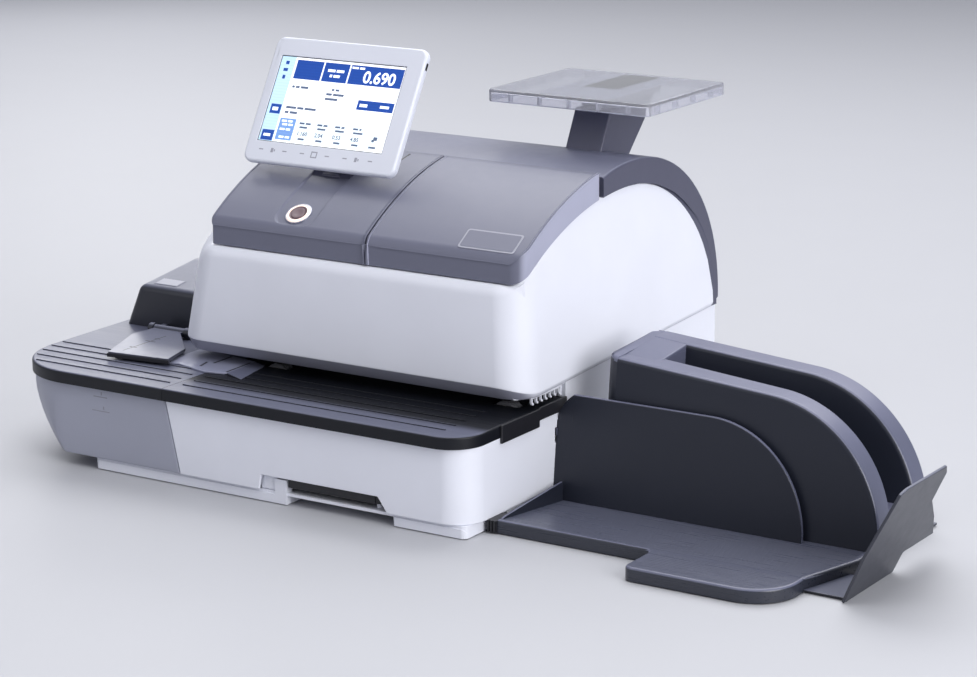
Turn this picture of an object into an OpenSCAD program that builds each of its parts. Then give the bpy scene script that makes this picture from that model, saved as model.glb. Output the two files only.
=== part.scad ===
// Desktop postage meter with a moistener, a weighing platform and a catch tray.
// Sizes are in millimetres. Outlines are drawn from the base's front right corner:
// x runs along the mail path, y runs to the back, z runs up from the desk.

/* [Levels] */
// Height of the skids that the machine stands on
skid_h = 11; // [9:0.5:14]
// Height of the base shell, from the skids to the deck
base_h = 63.5; // [58:0.5:70]
// Thickness of the decks that the mail slides on
deck_t = 10.5; // [9:0.5:13]
// Clear height of the mail path at the housing's front edge
throat_h = 10; // [9:0.5:13]
// Height of the housing's front, from its lower edge to the lid
front_h = 95; // [88:1:102]
// Height of the lid's front skirt
skirt_h = 23; // [19:0.5:27]
// Height of the housing's crown above its lower front edge
crown_h = 149.6; // [144:0.2:156]
// Rounding of the lid's front edge
edge_r = 9; // [5:0.5:12]
// Height of the lid's crown above the housing's crown
lid_rise = 23.4; // [20:0.2:27]

/* [Base] */
// Length of the base along the mail path
base_w = 303; // [295:1:312]
// Depth of the base from front to back
base_d = 410; // [402:1:420]
// Corner radius at the base's right front corner
base_corner_r = 26; // [16:1:34]
// How far the joint between tank and base leans along its height
split_slant = 14; // [6:1:18]
// Wall thickness of the moulded shells
wall = 3; // [2.4:0.1:3.6]
// Depth of the mail path, from the base front to its rear wall
path_d = 150; // [146:1:156]
// How far the decks stand out in front of the base
deck_lip = 5; // [2:0.5:8]
// Corner radius at the main deck's right front corner
deck_corner_r = 30; // [20:1:36]
// Height of the deck's sliding ribs
rib_h = 0.8; // [0.4:0.1:1.2]
// Number of sliding ribs along the front of each deck
rib_count = 5; // [3:1:6]

/* [Sealer end] */
// Length of the water tank along the mail path
tank_w = 180; // [174:1:188]
// How far the left end slopes inwards at its foot
end_slope = 37; // [28:1:44]
// Plan radius of the left front corner
end_corner_r = 70; // [58:1:78]
// Depth of the sealer end from front to back
sealer_d = 300; // [285:1:315]
// Height of the sealer housing's front face
sealer_h = 38; // [32:1:44]
// Clearance round the sliding water tank
tank_clear = 0.3; // [0.2:0.1:0.6]
// How far the flap guide reaches from its hinge towards the front
guide_reach = 92; // [80:1:98]
// Height of the flap guide's blade above the sealer deck
guide_lift = 4; // [3:0.5:6]

/* [Housing] */
// How far the housing overhangs the base on the left
hous_left = 48; // [40:1:56]
// How far the housing overhangs the base on the right
hous_right = 3; // [1:0.5:6]
// Setback of the housing's front behind the base front
hous_front = 79; // [74:1:84]
// Depth of the housing's rear face from the base front
hous_rear = 412; // [406:1:420]
// Depth at which the housing is highest
crown_y = 256; // [248:1:264]
// How far the front leans back over its height
front_lean = 6; // [3:1:10]
// How far the left side leans in over the front's height
left_lean = 14; // [8:1:18]
// How far the right side leans in over the front's height
right_lean = 5; // [2:1:8]
// Plan radius of the housing's front corners
hous_corner_r = 28; // [20:1:34]
// Height of the sloping band along the housing's lower edge
lip_h = 9; // [6:0.5:12]
// How far that band slopes inwards
lip_in = 6; // [3:0.5:8]
// How far the housing's lower edge climbs towards the back
rear_rise = 16; // [10:1:20]

/* [Top covers] */
// Inset of the top covers from the housing's left foot
cover_left = 35; // [28:1:42]
// Inset of the top covers from the housing's right foot
cover_right = 5; // [4:0.5:9]
// Length of the cartridge lid along the mail path
lid_w = 153; // [145:1:160]
// Depth of the lid's rear edge from the base front
lid_back = 207.5; // [202:0.5:212]
// Width of the hinge gap behind the lid
hinge_gap = 7; // [6:0.5:9]
// Height of the rear cover's crown above the housing's crown
arch_rise = 21.4; // [18:0.2:25]
// How far the rear cover stands out behind the housing
arch_over = 9; // [6:0.5:12]
// Gap along the seams between fixed covers
seat_gap = 0.2; // [0.1:0.05:0.3]
// Gap along the seams of the moving lid
lid_gap = 0.5; // [0.4:0.1:0.8]
// Depth of the start button from the base front
button_y = 102; // [98:1:108]
// Radius of the start button
button_r = 6.5; // [5.5:0.25:7.5]
// Width of the light ring round the button
ring_w = 5.5; // [4:0.25:6]
// Travel of the start button
button_travel = 1.5; // [1:0.1:2]

/* [Display] */
// Width of the display
disp_w = 158; // [150:1:165]
// Height of the display along its face
disp_h = 116; // [110:1:122]
// Thickness of the display's front frame
bezel_t = 8; // [7:0.5:10]
// Thickness of the display's back behind the frame
back_t = 6; // [5:0.5:8]
// Inset of the back from the frame's outline
back_in = 9; // [6:0.5:14]
// Width of the screen
lcd_w = 131; // [124:1:136]
// Height of the screen
lcd_h = 79.5; // [74:0.5:84]
// How far the screen's centre lies to the left of the display's centre
lcd_shift = 3.5; // [0:0.5:6]
// How far the screen's centre lies above the display's centre
lcd_up = 1; // [0:0.5:6]
// How far the display leans back from upright
disp_tilt = 30; // [24:1:36]
// Depth of the display's lower front edge from the base front
disp_y = 134; // [128:1:140]
// Height of that edge above the cover below it
disp_lift = 15.5; // [14:0.5:20]
// Distance of the display foot from the lid's left edge
foot_in = 80; // [74:1:86]
// How far the display's centre lies to the left of its foot
disp_shift = 4.5; // [0:0.5:8]
// Radius of the display's hinge pin
disp_pin_r = 3; // [2.5:0.25:3.5]

/* [Scale] */
// Length of the weighing platform along the mail path
plat_w = 161; // [150:1:170]
// Depth of the weighing platform
plat_d = 138; // [130:1:146]
// Height of the platform's skirt
plat_h = 11; // [9:0.5:13]
// Height of the platform's top above the rear cover's crown
plat_lift = 49; // [44:1:56]
// Width of the column that carries the platform
col_w = 36; // [32:1:42]
// Depth of the column at its foot
col_d = 40; // [36:1:46]
// Distance of the column's centre from the base's right end
col_in = 66; // [60:1:72]
// How far the column's front leans back for each millimetre of height
col_lean = 0.5; // [0.35:0.05:0.6]
// How far the column's rear leans back for each millimetre of height
col_flare = 1; // [0.8:0.05:1.1]
// Clearance round the column where it passes the covers
col_clear = 1.2; // [1:0.1:2]

/* [Transport] */
// Distance of the entry rollers from the base's left end
entry_in = 41; // [38:1:48]
// Distance of the exit rollers from the base's right end
exit_in = 30; // [27:1:34]
// Radius of the drive rollers
drive_r = 15; // [14.5:0.25:16]
// Radius of the pressure rollers
press_r = 13; // [12:0.25:14]
// Width of each roller
roller_w = 12; // [10:0.5:14]
// How far the pressure rollers stand above the deck
nip_h = 3; // [2:0.25:4]
// Gap between drive and pressure rollers
nip_gap = 0.3; // [0.25:0.05:0.5]
// Radius of the drive shafts
shaft_r = 4; // [3.5:0.25:4.5]
// Radius of the pressure axles
axle_r = 3; // [2.5:0.25:3.5]
// Radial clearance of turning shafts
run_clear = 0.05; // [0.02:0.01:0.09]
// Thickness of the chassis sheet
sheet = 2.5; // [2:0.1:3]
// Gear module
gear_m = 1; // [0.9:0.05:1.1]
// Radius of the belt pulleys
pulley_r = 10; // [9:0.5:11]
// Radius of the feed motor
motor_r = 17; // [15:0.5:19]
// Drop of the pressure carriage when the lever is pulled
press_drop = 8; // [6:0.5:10]
// Length of the release lever's grip
lever_l = 87; // [80:1:92]
// Travel of the print carriage to the wiper
carriage_travel = 35; // [28:1:38]

/* [Catch tray] */
// Gap between the base and the tray floor
tray_gap = 8; // [5:0.5:12]
// Length of the tray floor along the mail path
tray_w = 273; // [262:1:285]
// Length of the floor's narrow part beside the base
tray_step_x = 142; // [134:1:150]
// Setback of the floor's narrow part behind the base front
tray_step_y = 31; // [26:1:36]
// How far the floor's wide part reaches in front of the base
tray_reach = 16; // [12:1:20]
// Height of the floor's front rim
rim_h = 12; // [11:0.5:15]
// Corner radius of the floor's right front corner
tray_corner_r = 36; // [28:1:44]
// Depth of the liner's foot from the base front
liner_y = 129; // [125:1:133]
// Thickness of the liner
liner_t = 4; // [3:0.25:5]
// Height of the liner
liner_h = 91.5; // [86:0.5:96]
// Radius of the liner's round end
liner_r = 88.5; // [82:0.5:90]
// Height of the tray wall at its front
twall_h = 125; // [118:1:132]
// Depth of the tray wall over its two arches
twall_d = 85; // [80:1:92]
// Thickness of each arch of the tray wall
arch_t = 25; // [22:0.5:28]
// Radius of the tray wall's round end
twall_r = 110; // [102:1:114]
// How far the wall and the liner lean back for each millimetre of height
tray_lean = 0.11; // [0.06:0.01:0.14]
// Distance of the end stop's foot from the tray floor's left edge
stop_out = 307; // [300:1:316]
// Width of the end stop
stop_w = 92; // [84:1:100]
// Height of the end stop along its face
stop_h = 101.6; // [94:0.2:110]
// Thickness of the end stop
stop_t = 2.4; // [2:0.1:3]
// How far the end stop leans outwards
stop_lean = 25; // [18:1:30]

/* [Hidden] */
$fn = 48;
over = 1;

// Heights above the desk
base_z = skid_h + base_h;
deck_z = base_z + deck_t;
hous_z = deck_z + throat_h;
seam_z = hous_z + front_h;
crown_z = hous_z + crown_h;
lid_front_z = seam_z + skirt_h;
lid_crown_z = crown_z + lid_rise;
rear_z = hous_z + rear_rise;
arch_top_z = crown_z + arch_rise;
plat_z = arch_top_z + plat_lift;
foot_t = 1;
pan_t = 2.5;
pan_z = skid_h - pan_t;

// Places along the mail path
left_x = -base_w - tank_w;
hous_x0 = -base_w - hous_left;
hous_x1 = hous_right;
cover_x0 = hous_x0 + cover_left;
cover_x1 = hous_x1 - cover_right;
lid_x0 = cover_x1 - lid_w;
foot_x = lid_x0 - foot_in;
disp_x = foot_x - disp_shift;
col_x = -col_in;
entry_x = -base_w + entry_in;
exit_x = -exit_in;

// The whole part's reach, for an origin at the middle of its foot
stop_x = tray_gap + stop_out;
stop_tip_x = stop_x + stop_t * cos(stop_lean) + stop_h * sin(stop_lean);
reach_y0 = -tray_reach;
reach_y1 = hous_rear + arch_over;
origin_x = (left_x + stop_tip_x) / 2;
origin_y = (reach_y0 + reach_y1) / 2;

// Housing profile: a front arc up to the crown and a rear quarter ellipse
prof_n = 14;
prof_y0 = hous_front + front_lean;
function arc_radius(dy, dz) = (dy * dy + dz * dz) / (2 * dz);
function crown_at(y, y0, z0, z1) =
    let (r = arc_radius(crown_y - y0, z1 - z0))
    z1 - r + sqrt(r * r - pow(crown_y - y, 2));
function hous_top(y) = crown_at(y, prof_y0, seam_z, crown_z);
lid_y0 = prof_y0 + 1;
function lid_top(y) = crown_at(y, lid_y0, lid_front_z, lid_crown_z);
function lid_slope(y) =
    let (r = arc_radius(crown_y - lid_y0, lid_crown_z - lid_front_z))
    asin((crown_y - y) / r);
// Rounded front edge of the top covers, from the skirt to the top arc
function lid_edge(i) =
    let (a = [lid_y0 + i, lid_front_z - edge_r], b = [lid_y0 + i, lid_front_z - i],
        c = [lid_y0 + i + edge_r, lid_top(lid_y0 + i + edge_r) - i])
    [for (t = spread(0, 1, 5)) (1 - t) * (1 - t) * a + 2 * t * (1 - t) * b + t * t * c];
function spread(a, b, n) = [for (k = [0:n]) a + (b - a) * k / n];
function front_arc(i) =
    [for (y = spread(prof_y0 + i, crown_y, prof_n))
        [y, crown_at(y, prof_y0 + i, seam_z - i, crown_z - i)]];
function rear_arc(i) =
    [for (a = spread(90, 0, prof_n))
        [crown_y + (hous_rear - i - crown_y) * cos(a), rear_z + (crown_z - i - rear_z) * sin(a)]];
// Lower edge of the housing at a given depth
function low_edge(y) = hous_z + rear_rise * (y - hous_front - lip_in) / (hous_rear - hous_front - lip_in);

// Rear cover: a squared ellipse over the housing's back
arch_y = crown_y + 9;
arch_z = rear_z + 4;
arch_power = 2.1;
arch_y0 = lid_back + hinge_gap;
function arch_at(i, a) =
    [arch_y + (reach_y1 - i - arch_y) * cos(a),
     arch_z + (arch_top_z - i - arch_z) * pow(1 - pow(abs(cos(a)), arch_power), 1 / arch_power)];
function arch_line(i) =
    let (a0 = acos((arch_y0 + i - arch_y) / (reach_y1 - i - arch_y)))
    [for (a = spread(a0, 0, 2 * prof_n)) arch_at(i, a)];

// Mail path and transport
chassis_set = 17;
chassis_y0 = hous_front + chassis_set;
chassis_y1 = path_d - 0.3;
row_a = chassis_y0 + sheet + 4.5;
row_b = chassis_y1 - sheet - 6.5 - roller_w;
rows = [row_a, row_b];
row_mid = (row_a + row_b + roller_w) / 2;
nip_z = deck_z + nip_h;
drive_z = nip_z + nip_gap + drive_r;
press_z = nip_z - press_r;
slot_clear = 2;
plate_z = hous_z + seat_gap;
plate_rise = 38.5;
chassis_z1 = drive_z + plate_rise;
bush_r = shaft_r + run_clear + 3;
belt_y = path_d + 6;
belt_w = 8;
gear_y = belt_y + belt_w + 3;
gear_w = 6;
gear_n = 36;
pinion_n = 12;
gear_d = gear_m * (gear_n + pinion_n) / 2;
pinion_a = 60;
motor_x = entry_x + gear_d * cos(pinion_a);
motor_z = drive_z + gear_d * sin(pinion_a);
motor_y = gear_y + gear_w + 3;
pinion_r = 2;

// Print unit
rod_r = 3;
rod_z = drive_z + drive_r + 9.7;
rod_x0 = -172;
rod_x1 = -58;
rod_y = [row_a + 3, row_b + roller_w - 3];
head_x = -125;
head_l = 44;

// Pressure carriage under the deck
press_z0 = press_z - 27;
press_t = 3;
press_y = [row_a - 4, row_b + roller_w + 3.5];
post_r = 4;
post_x = [-200, -125];
lever_x = -92;
lever_y = 12;
lever_z = skid_h + 5;
lever_t = 7.5;
pin_r = 3;

// Display frame: origin at the middle of its lower front edge
disp_z = lid_top(disp_y) + disp_lift;
disp_pin_up = 26;
disp_pin_back = bezel_t + back_t + 12;
disp_pin_y = disp_y + disp_pin_up * sin(disp_tilt) + disp_pin_back * cos(disp_tilt);
disp_pin_z = disp_z + disp_pin_up * cos(disp_tilt) - disp_pin_back * sin(disp_tilt);
knuckle_w = 15;
ear_w = 12;
ear_gap = 0.3;

// Load cell and column
cell_t = 20;
cell_z = crown_z - 40;
cell_gap = 0.7;
col_foot_z = cell_z + cell_t;
col_y0 = crown_y + 12;
col_top_z = plat_z - plat_h;
carrier_t = 5;

// Tray
tray_x0 = tray_gap;
tray_x1 = tray_gap + tray_w;
twall_x0 = tray_x0 + 41;
twall_y = liner_y + 8;
twall_fall = 0.078;
floor_back_y = twall_y + twall_d + twall_h * tray_lean;
floor_low_z = 2.6;
slide_gap = 0.3;

module side_extrude(x0, x1) {
    translate([x0, 0, 0])
        rotate([90, 0, 90])
            linear_extrude(x1 - x0)
                children();
}

module front_extrude(y0, y1) {
    translate([0, y1, 0])
        rotate([90, 0, 0])
            linear_extrude(y1 - y0)
                children();
}

module box(low, high) {
    translate(low)
        cube(high - low);
}

module rod_y(x, z, r, y0, y1) {
    translate([x, y1, z])
        rotate([90, 0, 0])
            cylinder(r = r, h = y1 - y0);
}

module rod_x(y, z, r, x0, x1) {
    translate([x0, y, z])
        rotate([0, 90, 0])
            cylinder(r = r, h = x1 - x0);
}

// Plan outline with its own radius at the front left, front right, back right and back left
module plan(x0, y0, x1, y1, r) {
    corners = [[x0, y0, 1, 1], [x1, y0, -1, 1], [x1, y1, -1, -1], [x0, y1, 1, -1]];
    difference() {
        translate([x0, y0])
            square([x1 - x0, y1 - y0]);
        for (k = [0:3])
            if (r[k] > 0)
                translate([corners[k][0], corners[k][1]])
                    scale_corner(corners[k][2], corners[k][3], r[k]);
    }
}

module scale_corner(sx, sy, r) {
    difference() {
        translate([min(0, sx * r) - (sx > 0 ? over : 0), min(0, sy * r) - (sy > 0 ? over : 0)])
            square(r + over);
        translate([sx * r, sy * r])
            circle(r);
    }
}

// Left boundary of the base, parallel to the leaning joint with the tank
function split_at(z) = -base_w + split_slant * (base_z - z) / base_h;

module base_body(i, z0, z1) {
    intersection() {
        front_extrude(i, base_d - i)
            polygon([[split_at(z0) + i, z0], [-i, z0], [-i, z1], [split_at(z1) + i, z1]]);
        translate([0, 0, z0])
            linear_extrude(z1 - z0)
                plan(-base_w, i, -i, base_d - i, [0, base_corner_r - i, wall + over, wall + over]);
    }
}

module riser(i, y0) {
    side_extrude(-base_w + i, -i)
        polygon([[y0, base_z - (i > 0 ? over : 0)], [base_d - i, base_z - (i > 0 ? over : 0)],
            [base_d - i, low_edge(base_d) + (i > 0 ? over : 0)],
            [y0, low_edge(y0) + (i > 0 ? over : 0)]]);
}

// Front opening for the release lever and the finger notch
slot_x0 = lever_x - lever_l - 28;
slot_x1 = lever_x + 5;
slot_z = skid_h + 13;
supply_in = 21;
supply_w = 70;
inlet_in = 22;
inlet_w = 32;
inlet_x0 = -base_w + supply_in + supply_w + inlet_in;
inlet_x = [inlet_x0, inlet_x0 + inlet_w];
panel_x = [inlet_x0 - 15, -25];
panel_z = [skid_h + 9, base_z - 9];
screw_y = [62, 215];
screw_xy = [for (x = [-wall - 4.5, split_at(skid_h) + wall + 2.5], y = screw_y) [x, y]];
screw_r = 2;
screw_l = 11;
hook_y = [liner_y + 5.2, liner_y + 11];
hook_z = [30, 56];
hook_h = 6;
comb_n = 9;
comb_pitch = 4.2;

module base_shell() {
    color("whitesmoke")
        difference() {
            union() {
                difference() {
                    union() {
                        base_body(0, skid_h, base_z);
                        riser(0, path_d);
                    }
                    translate([0, 0, -over])
                        base_body(wall, skid_h, base_z + 2 * over);
                    riser(wall, path_d + wall);
                }
                for (p = screw_xy)
                    translate([p[0], p[1], skid_h])
                        cylinder(r = 5, h = screw_l + 2);
                for (k = [0:comb_n - 1])
                    box([-6 - comb_pitch * k, path_d - 2, deck_z + 1],
                        [-4 - comb_pitch * k, path_d + over, hous_z - 1]);
            }
            for (p = screw_xy)
                translate([p[0], p[1], skid_h - over])
                    cylinder(r = screw_r + run_clear, h = screw_l + over);
            front_extrude(-over, wall + over)
                polygon([[slot_x0, skid_h - over], [slot_x1 + 10, skid_h - over], [slot_x1, slot_z],
                    [slot_x0 + 3, slot_z]]);
            box([panel_x[0], base_d - wall - over, panel_z[0]], [panel_x[1], base_d + over, panel_z[1]]);
            for (z = hook_z)
                box([-wall - over, hook_y[0] - slide_gap, z - hook_h - slide_gap],
                    [over, hook_y[1] + slide_gap, z + hook_h + slide_gap]);
        }
}

// Skids under the pan, as pairs of left and right ends
skid_step = 27;
skid_x = [[-383, slot_x0 + skid_step], [-74, -4]];
pan_in = wall + 1;

module base_pan() {
    color("whitesmoke")
        difference() {
            union() {
                box([skid_x[0][0], pan_in, pan_z], [-pan_in, base_d - pan_in, skid_h]);
                for (s = skid_x)
                    difference() {
                        box([s[0], wall, foot_t], [s[1], base_d - wall, pan_z]);
                        box([s[0] + wall, 2 * wall + 32, -over],
                            [s[1] - wall, base_d - 2 * wall - 32, pan_z + over]);
                    }
                box([slot_x0 + skid_step - 12, wall, foot_t], [slot_x0 + skid_step, wall + 8, slot_z - 2]);
                for (x = post_x)
                    translate([x, row_mid, skid_h])
                        cylinder(r = post_r, h = press_z0 + press_t + press_drop - skid_h);
                translate([lever_x, lever_y, skid_h])
                    cylinder(r = pin_r, h = lever_t + 8);
                for (x = board_x, y = board_y)
                    translate([x, y, skid_h])
                        cylinder(r = 3, h = board_z - skid_h);
            }
            for (p = screw_xy) {
                translate([p[0], p[1], pan_z - over])
                    cylinder(r = screw_r + run_clear, h = pan_t + 2 * over);
                translate([p[0], p[1], -over])
                    cylinder(r = 4.5, h = pan_z + over);
            }
        }
}

pad_r = 7;
pad_xy = [[skid_x[0][0] + 14, 20], [skid_x[0][1] - 20, 20], [skid_x[0][0] + 14, base_d - 20],
    [skid_x[0][1] - 20, base_d - 20], [-39, 20], [-39, base_d - 20], [tray_x1 - 22, 2],
    [twall_x0 + 20, floor_back_y - 14], [tray_x1 - 8, floor_back_y - 14]];

module rubber_feet() {
    color("dimgray")
        for (p = pad_xy)
            translate([p[0], p[1], 0])
                cylinder(r = pad_r, h = foot_t);
}

module base_screws() {
    color("silver")
        for (p = screw_xy) {
            translate([p[0], p[1], pan_z - 2.4])
                cylinder(r = 4, h = 2.4);
            translate([p[0], p[1], pan_z - over])
                cylinder(r = screw_r, h = pan_t + screw_l - 1);
        }
}

rib_pitch = 15.2;
rib_y = 14;
rib_w = 1.5;

// Sliding ribs along the mail path, each starting clear of the corner's radius
module ribs(x0, x1, r) {
    for (k = [0:rib_count - 1]) {
        y = rib_y + rib_pitch * k;
        d = max(r - deck_lip - y, 0);
        box([x0 + r - sqrt(r * r - d * d), y, deck_z - over], [x1, y + rib_w, deck_z + rib_h]);
    }
}

module roller_slots(r, z0, z1) {
    for (x = [entry_x, exit_x], y = rows)
        box([x - r - slot_clear, y - slot_clear, z0], [x + r + slot_clear, y + roller_w + slot_clear, z1]);
}

module main_deck() {
    color("darkslategray")
        difference() {
            union() {
                translate([0, 0, base_z])
                    linear_extrude(deck_t)
                        plan(-base_w + lid_gap, -deck_lip, 0, path_d - seat_gap, [0, deck_corner_r, 0, 0]);
                ribs(-base_w + 8, -deck_corner_r, 0);
            }
            translate([0, 0, base_z - over])
                linear_extrude(deck_t - wall + over)
                    plan(-base_w + lid_gap + wall, wall, -wall, path_d - seat_gap - 2,
                        [0, base_corner_r - wall, 0, 0]);
            roller_slots(press_r, base_z, deck_z + over);
        }
}

guide_step = [48, 106, path_d - 1];
guide_z = [base_z - 4.5, base_z + 1];
guide_t = 2.5;

module exit_guide() {
    color("black") {
        box([0, guide_step[0], guide_z[0]], [guide_t, guide_step[1], deck_z + 0.5]);
        box([0, guide_step[1], guide_z[1]], [guide_t, guide_step[2], deck_z + 1.5]);
    }
}

// Left end outline: steep at the deck and drawn in towards the foot
function end_line(i, z0, z1) =
    [for (d = spread(0, 1, 8))
        [left_x + i + end_slope * d * d, z1 - (z1 - z0) * d]];

// Slope of the left end as it turns round the front corner of radius r
module end_cut(i, z0, z1, y0, r, turn) {
    translate([left_x + r, y0 + r, 0])
        rotate([0, 0, turn])
            front_extrude(-2 * sealer_d, 2 * sealer_d)
                polygon(concat([for (d = spread(0, 1, 8))
                    [i - r + end_slope * pow(cos(turn), 2) * d * d, z1 - (z1 - z0) * d]],
                    [[2 * sealer_d, z0], [2 * sealer_d, z1]]));
}

module end_body(i, z0, z1, y0, y1, r) {
    intersection() {
        front_extrude(y0 + i, y1 - i)
            polygon(concat(end_line(i, z0, z1), [[split_at(skid_h) - i - tank_clear - lid_gap, z0],
                [split_at(base_z) - i - tank_clear - lid_gap, z1]]));
        translate([0, 0, z0])
            linear_extrude(z1 - z0)
                plan(left_x + i, y0 + i, 0, y1 - i, [r - i, 0, 0, 0]);
    }
}

tank_d = path_d - 2;

module tank_body(i, z1) {
    z0 = skid_h + tank_clear;
    r = end_corner_r - 2;
    intersection() {
        end_body(i, z0, z1, 0, tank_d, r);
        end_cut(i, z0, z1, 0, r, 20);
        end_cut(i, z0, z1, 0, r, 38);
        end_cut(i, z0, z1, 0, r, 56);
        end_cut(i, z0, z1, 0, r, 73);
    }
}

module water_tank() {
    color("lightsteelblue")
        difference() {
            tank_body(0, base_z - tank_clear);
            translate([0, 0, wall])
                tank_body(wall, base_z + over);
        }
}

frame_y0 = tank_d + 2;

module sealer_frame() {
    color("whitesmoke")
        difference() {
            union() {
                end_body(0, skid_h, base_z, frame_y0, sealer_d - 4, 0);
                box([left_x + end_slope + 6, frame_y0 + 20, foot_t],
                    [skid_x[0][0] - 6, sealer_d - 20, skid_h + over]);
            }
            translate([0, 0, wall])
                end_body(wall, skid_h, base_z + over, frame_y0, sealer_d - 4, 0);
        }
}

module sealer_deck() {
    color("darkslategray")
        difference() {
            union() {
                translate([0, 0, base_z])
                    linear_extrude(deck_t)
                        plan(left_x, -deck_lip, -base_w, sealer_d, [end_corner_r, 0, 0, 20]);
                ribs(left_x + 4, -base_w - 6, end_corner_r);
            }
            translate([0, 0, base_z - over])
                linear_extrude(deck_t - wall + over)
                    plan(left_x + wall, wall - deck_lip, -base_w - wall, frame_y0 - over,
                        [end_corner_r - wall, 0, 0, 0]);
        }
}

// Sealer housing behind the flap guide
seal_x0 = left_x + 8;
seal_x1 = hous_x0 - 2;
seal_y0 = path_d + 8;
seal_lean = 16;
guide_y = seal_y0 - 18;
guide_z1 = deck_z + guide_lift + 1.5;
hinge_x = [left_x + 58, left_x + 93];
hinge_r = 5;
guide_pin_r = 2;

module seal_body(i) {
    intersection() {
        side_extrude(seal_x0 - over, seal_x1 - i)
            polygon([[seal_y0 + i, deck_z - (i > 0 ? over : 0)],
                [seal_y0 + i + 1, deck_z + sealer_h - i],
                [seal_y0 + 77, deck_z + sealer_h + 12 - i], [sealer_d - 14, deck_z + sealer_h + 6 - i],
                [sealer_d - 2 - i, deck_z + sealer_h - 8 - i],
                [sealer_d - 2 - i, deck_z - (i > 0 ? over : 0)]]);
        front_extrude(seal_y0 - over, sealer_d + over)
            polygon([[seal_x0 + i, deck_z - 2 * over], [seal_x1, deck_z - 2 * over],
                [seal_x1, deck_z + 2 * sealer_h], [seal_x0 + i + 2 * seal_lean, deck_z + 2 * sealer_h]]);
    }
}

module sealer_housing() {
    color("dimgray")
        difference() {
            union() {
                difference() {
                    seal_body(0);
                    seal_body(wall);
                }
                for (x = [hinge_x[0] - 5, hinge_x[1]]) {
                    box([x, guide_y, deck_z + seat_gap], [x + 5, seal_y0 + over, guide_z1]);
                    rod_x(guide_y, guide_z1, hinge_r, x, x + 5);
                }
            }
            rod_x(guide_y, guide_z1, guide_pin_r, hinge_x[0] - 5 - over, hinge_x[1] + 5 + over);
        }
}

module guide_pin() {
    color("silver")
        rod_x(guide_y, guide_z1, guide_pin_r, hinge_x[0] - 5, hinge_x[1] + 5);
}

blade_t = 3;
blade_tip = [left_x + 79, guide_y - guide_reach];
blade_w = 61;
blade_sweep = 7;
blade_lip = 4;
blade_bulge = [[-23, 62], [51, 44]];

// Flap guide: a swept blade with a hub at its rear edge and a lip at its front edge
module flap_guide() {
    tip = [blade_tip, blade_tip + [blade_w, blade_sweep]];
    neck = guide_y - hinge_r - 2;
    color("slategray")
        difference() {
            union() {
                translate([0, 0, guide_z1 - blade_t / 2])
                    linear_extrude(blade_t)
                        polygon([tip[0], tip[1], blade_tip + blade_bulge[1], [hinge_x[1] - 1, neck],
                            [hinge_x[1] - 1, guide_y], [hinge_x[0] + 1, guide_y], [hinge_x[0] + 1, neck],
                            blade_tip + blade_bulge[0]]);
                translate([0, 0, guide_z1 - blade_t])
                    linear_extrude(blade_t)
                        polygon([tip[0], tip[1], tip[1] + [-1, blade_lip], tip[0] + [-1, blade_lip]]);
                rod_x(guide_y, guide_z1, hinge_r - 1, hinge_x[0] + ear_gap, hinge_x[1] - ear_gap);
            }
            rod_x(guide_y, guide_z1, guide_pin_r + run_clear, hinge_x[0] - over, hinge_x[1] + over);
        }
}

felt_t = 1.5;

module moistener_felt() {
    color("beige")
        box([left_x + 66, guide_y - 42, deck_z], [left_x + 100, guide_y - 16, deck_z + felt_t]);
}

// Housing: side profile, leaning ends and rounded plan together
module housing_form(i) {
    bottom = i > 0 ? hous_z - over : hous_z;
    rear_bottom = i > 0 ? hous_z - over : rear_z;
    top = lid_crown_z;
    intersection() {
        side_extrude(hous_x0 - over, hous_x1 + over)
            polygon(concat([[hous_front + lip_in + i, bottom], [hous_front + i, hous_z + lip_h]],
                front_arc(i), rear_arc(i), [[hous_rear - i, rear_bottom]]));
        front_extrude(hous_front - over, hous_rear + over)
            polygon([[hous_x0 + i, hous_z - 2 * over], [hous_x1 - i, hous_z - 2 * over],
                [hous_x1 - i - right_lean * (top - hous_z) / front_h, top],
                [hous_x0 + i + left_lean * (top - hous_z) / front_h, top]]);
        translate([0, 0, hous_z - 2 * over])
            linear_extrude(top - hous_z)
                plan(hous_x0 + i, hous_front + i, hous_x1 - i, hous_rear - i,
                    [hous_corner_r - i, hous_corner_r - i, 6 - i / 2, 6 - i / 2]);
    }
}

module column_shape(c, z0, z1) {
    side_extrude(col_x - col_w / 2 - c, col_x + col_w / 2 + c)
        polygon([[col_y0 + col_lean * (z0 - col_foot_z) - c, z0],
            [col_y0 + col_flare * (z0 - col_foot_z) + col_d + c, z0],
            [col_y0 + col_flare * (z1 - col_foot_z) + col_d + c, z1],
            [col_y0 + col_lean * (z1 - col_foot_z) - c, z1]]);
}

bay_x = [-150, -18];
bay_y = [chassis_y0 + 2, 190];

module housing_shell() {
    color("whitesmoke")
        difference() {
            housing_form(0);
            housing_form(wall);
            box([bay_x[0], bay_y[0], seam_z - 20], [bay_x[1], bay_y[1], lid_crown_z]);
            column_shape(col_clear, crown_z - 30, lid_crown_z);
        }
}

// Top covers: solid between the housing's top and the lid's arc, hollow from below
module cover_side(i, g) {
    ys = spread(lid_y0 + i, lid_back - i, prof_n);
    top_ys = spread(lid_y0 + i + edge_r + 5, lid_back - i, prof_n);
    polygon(concat(lid_edge(i), [for (y = top_ys) [y, lid_top(y) - i]],
        [for (k = [0:prof_n]) let (y = ys[prof_n - k]) [y, hous_top(y) + g]]));
}

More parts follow.
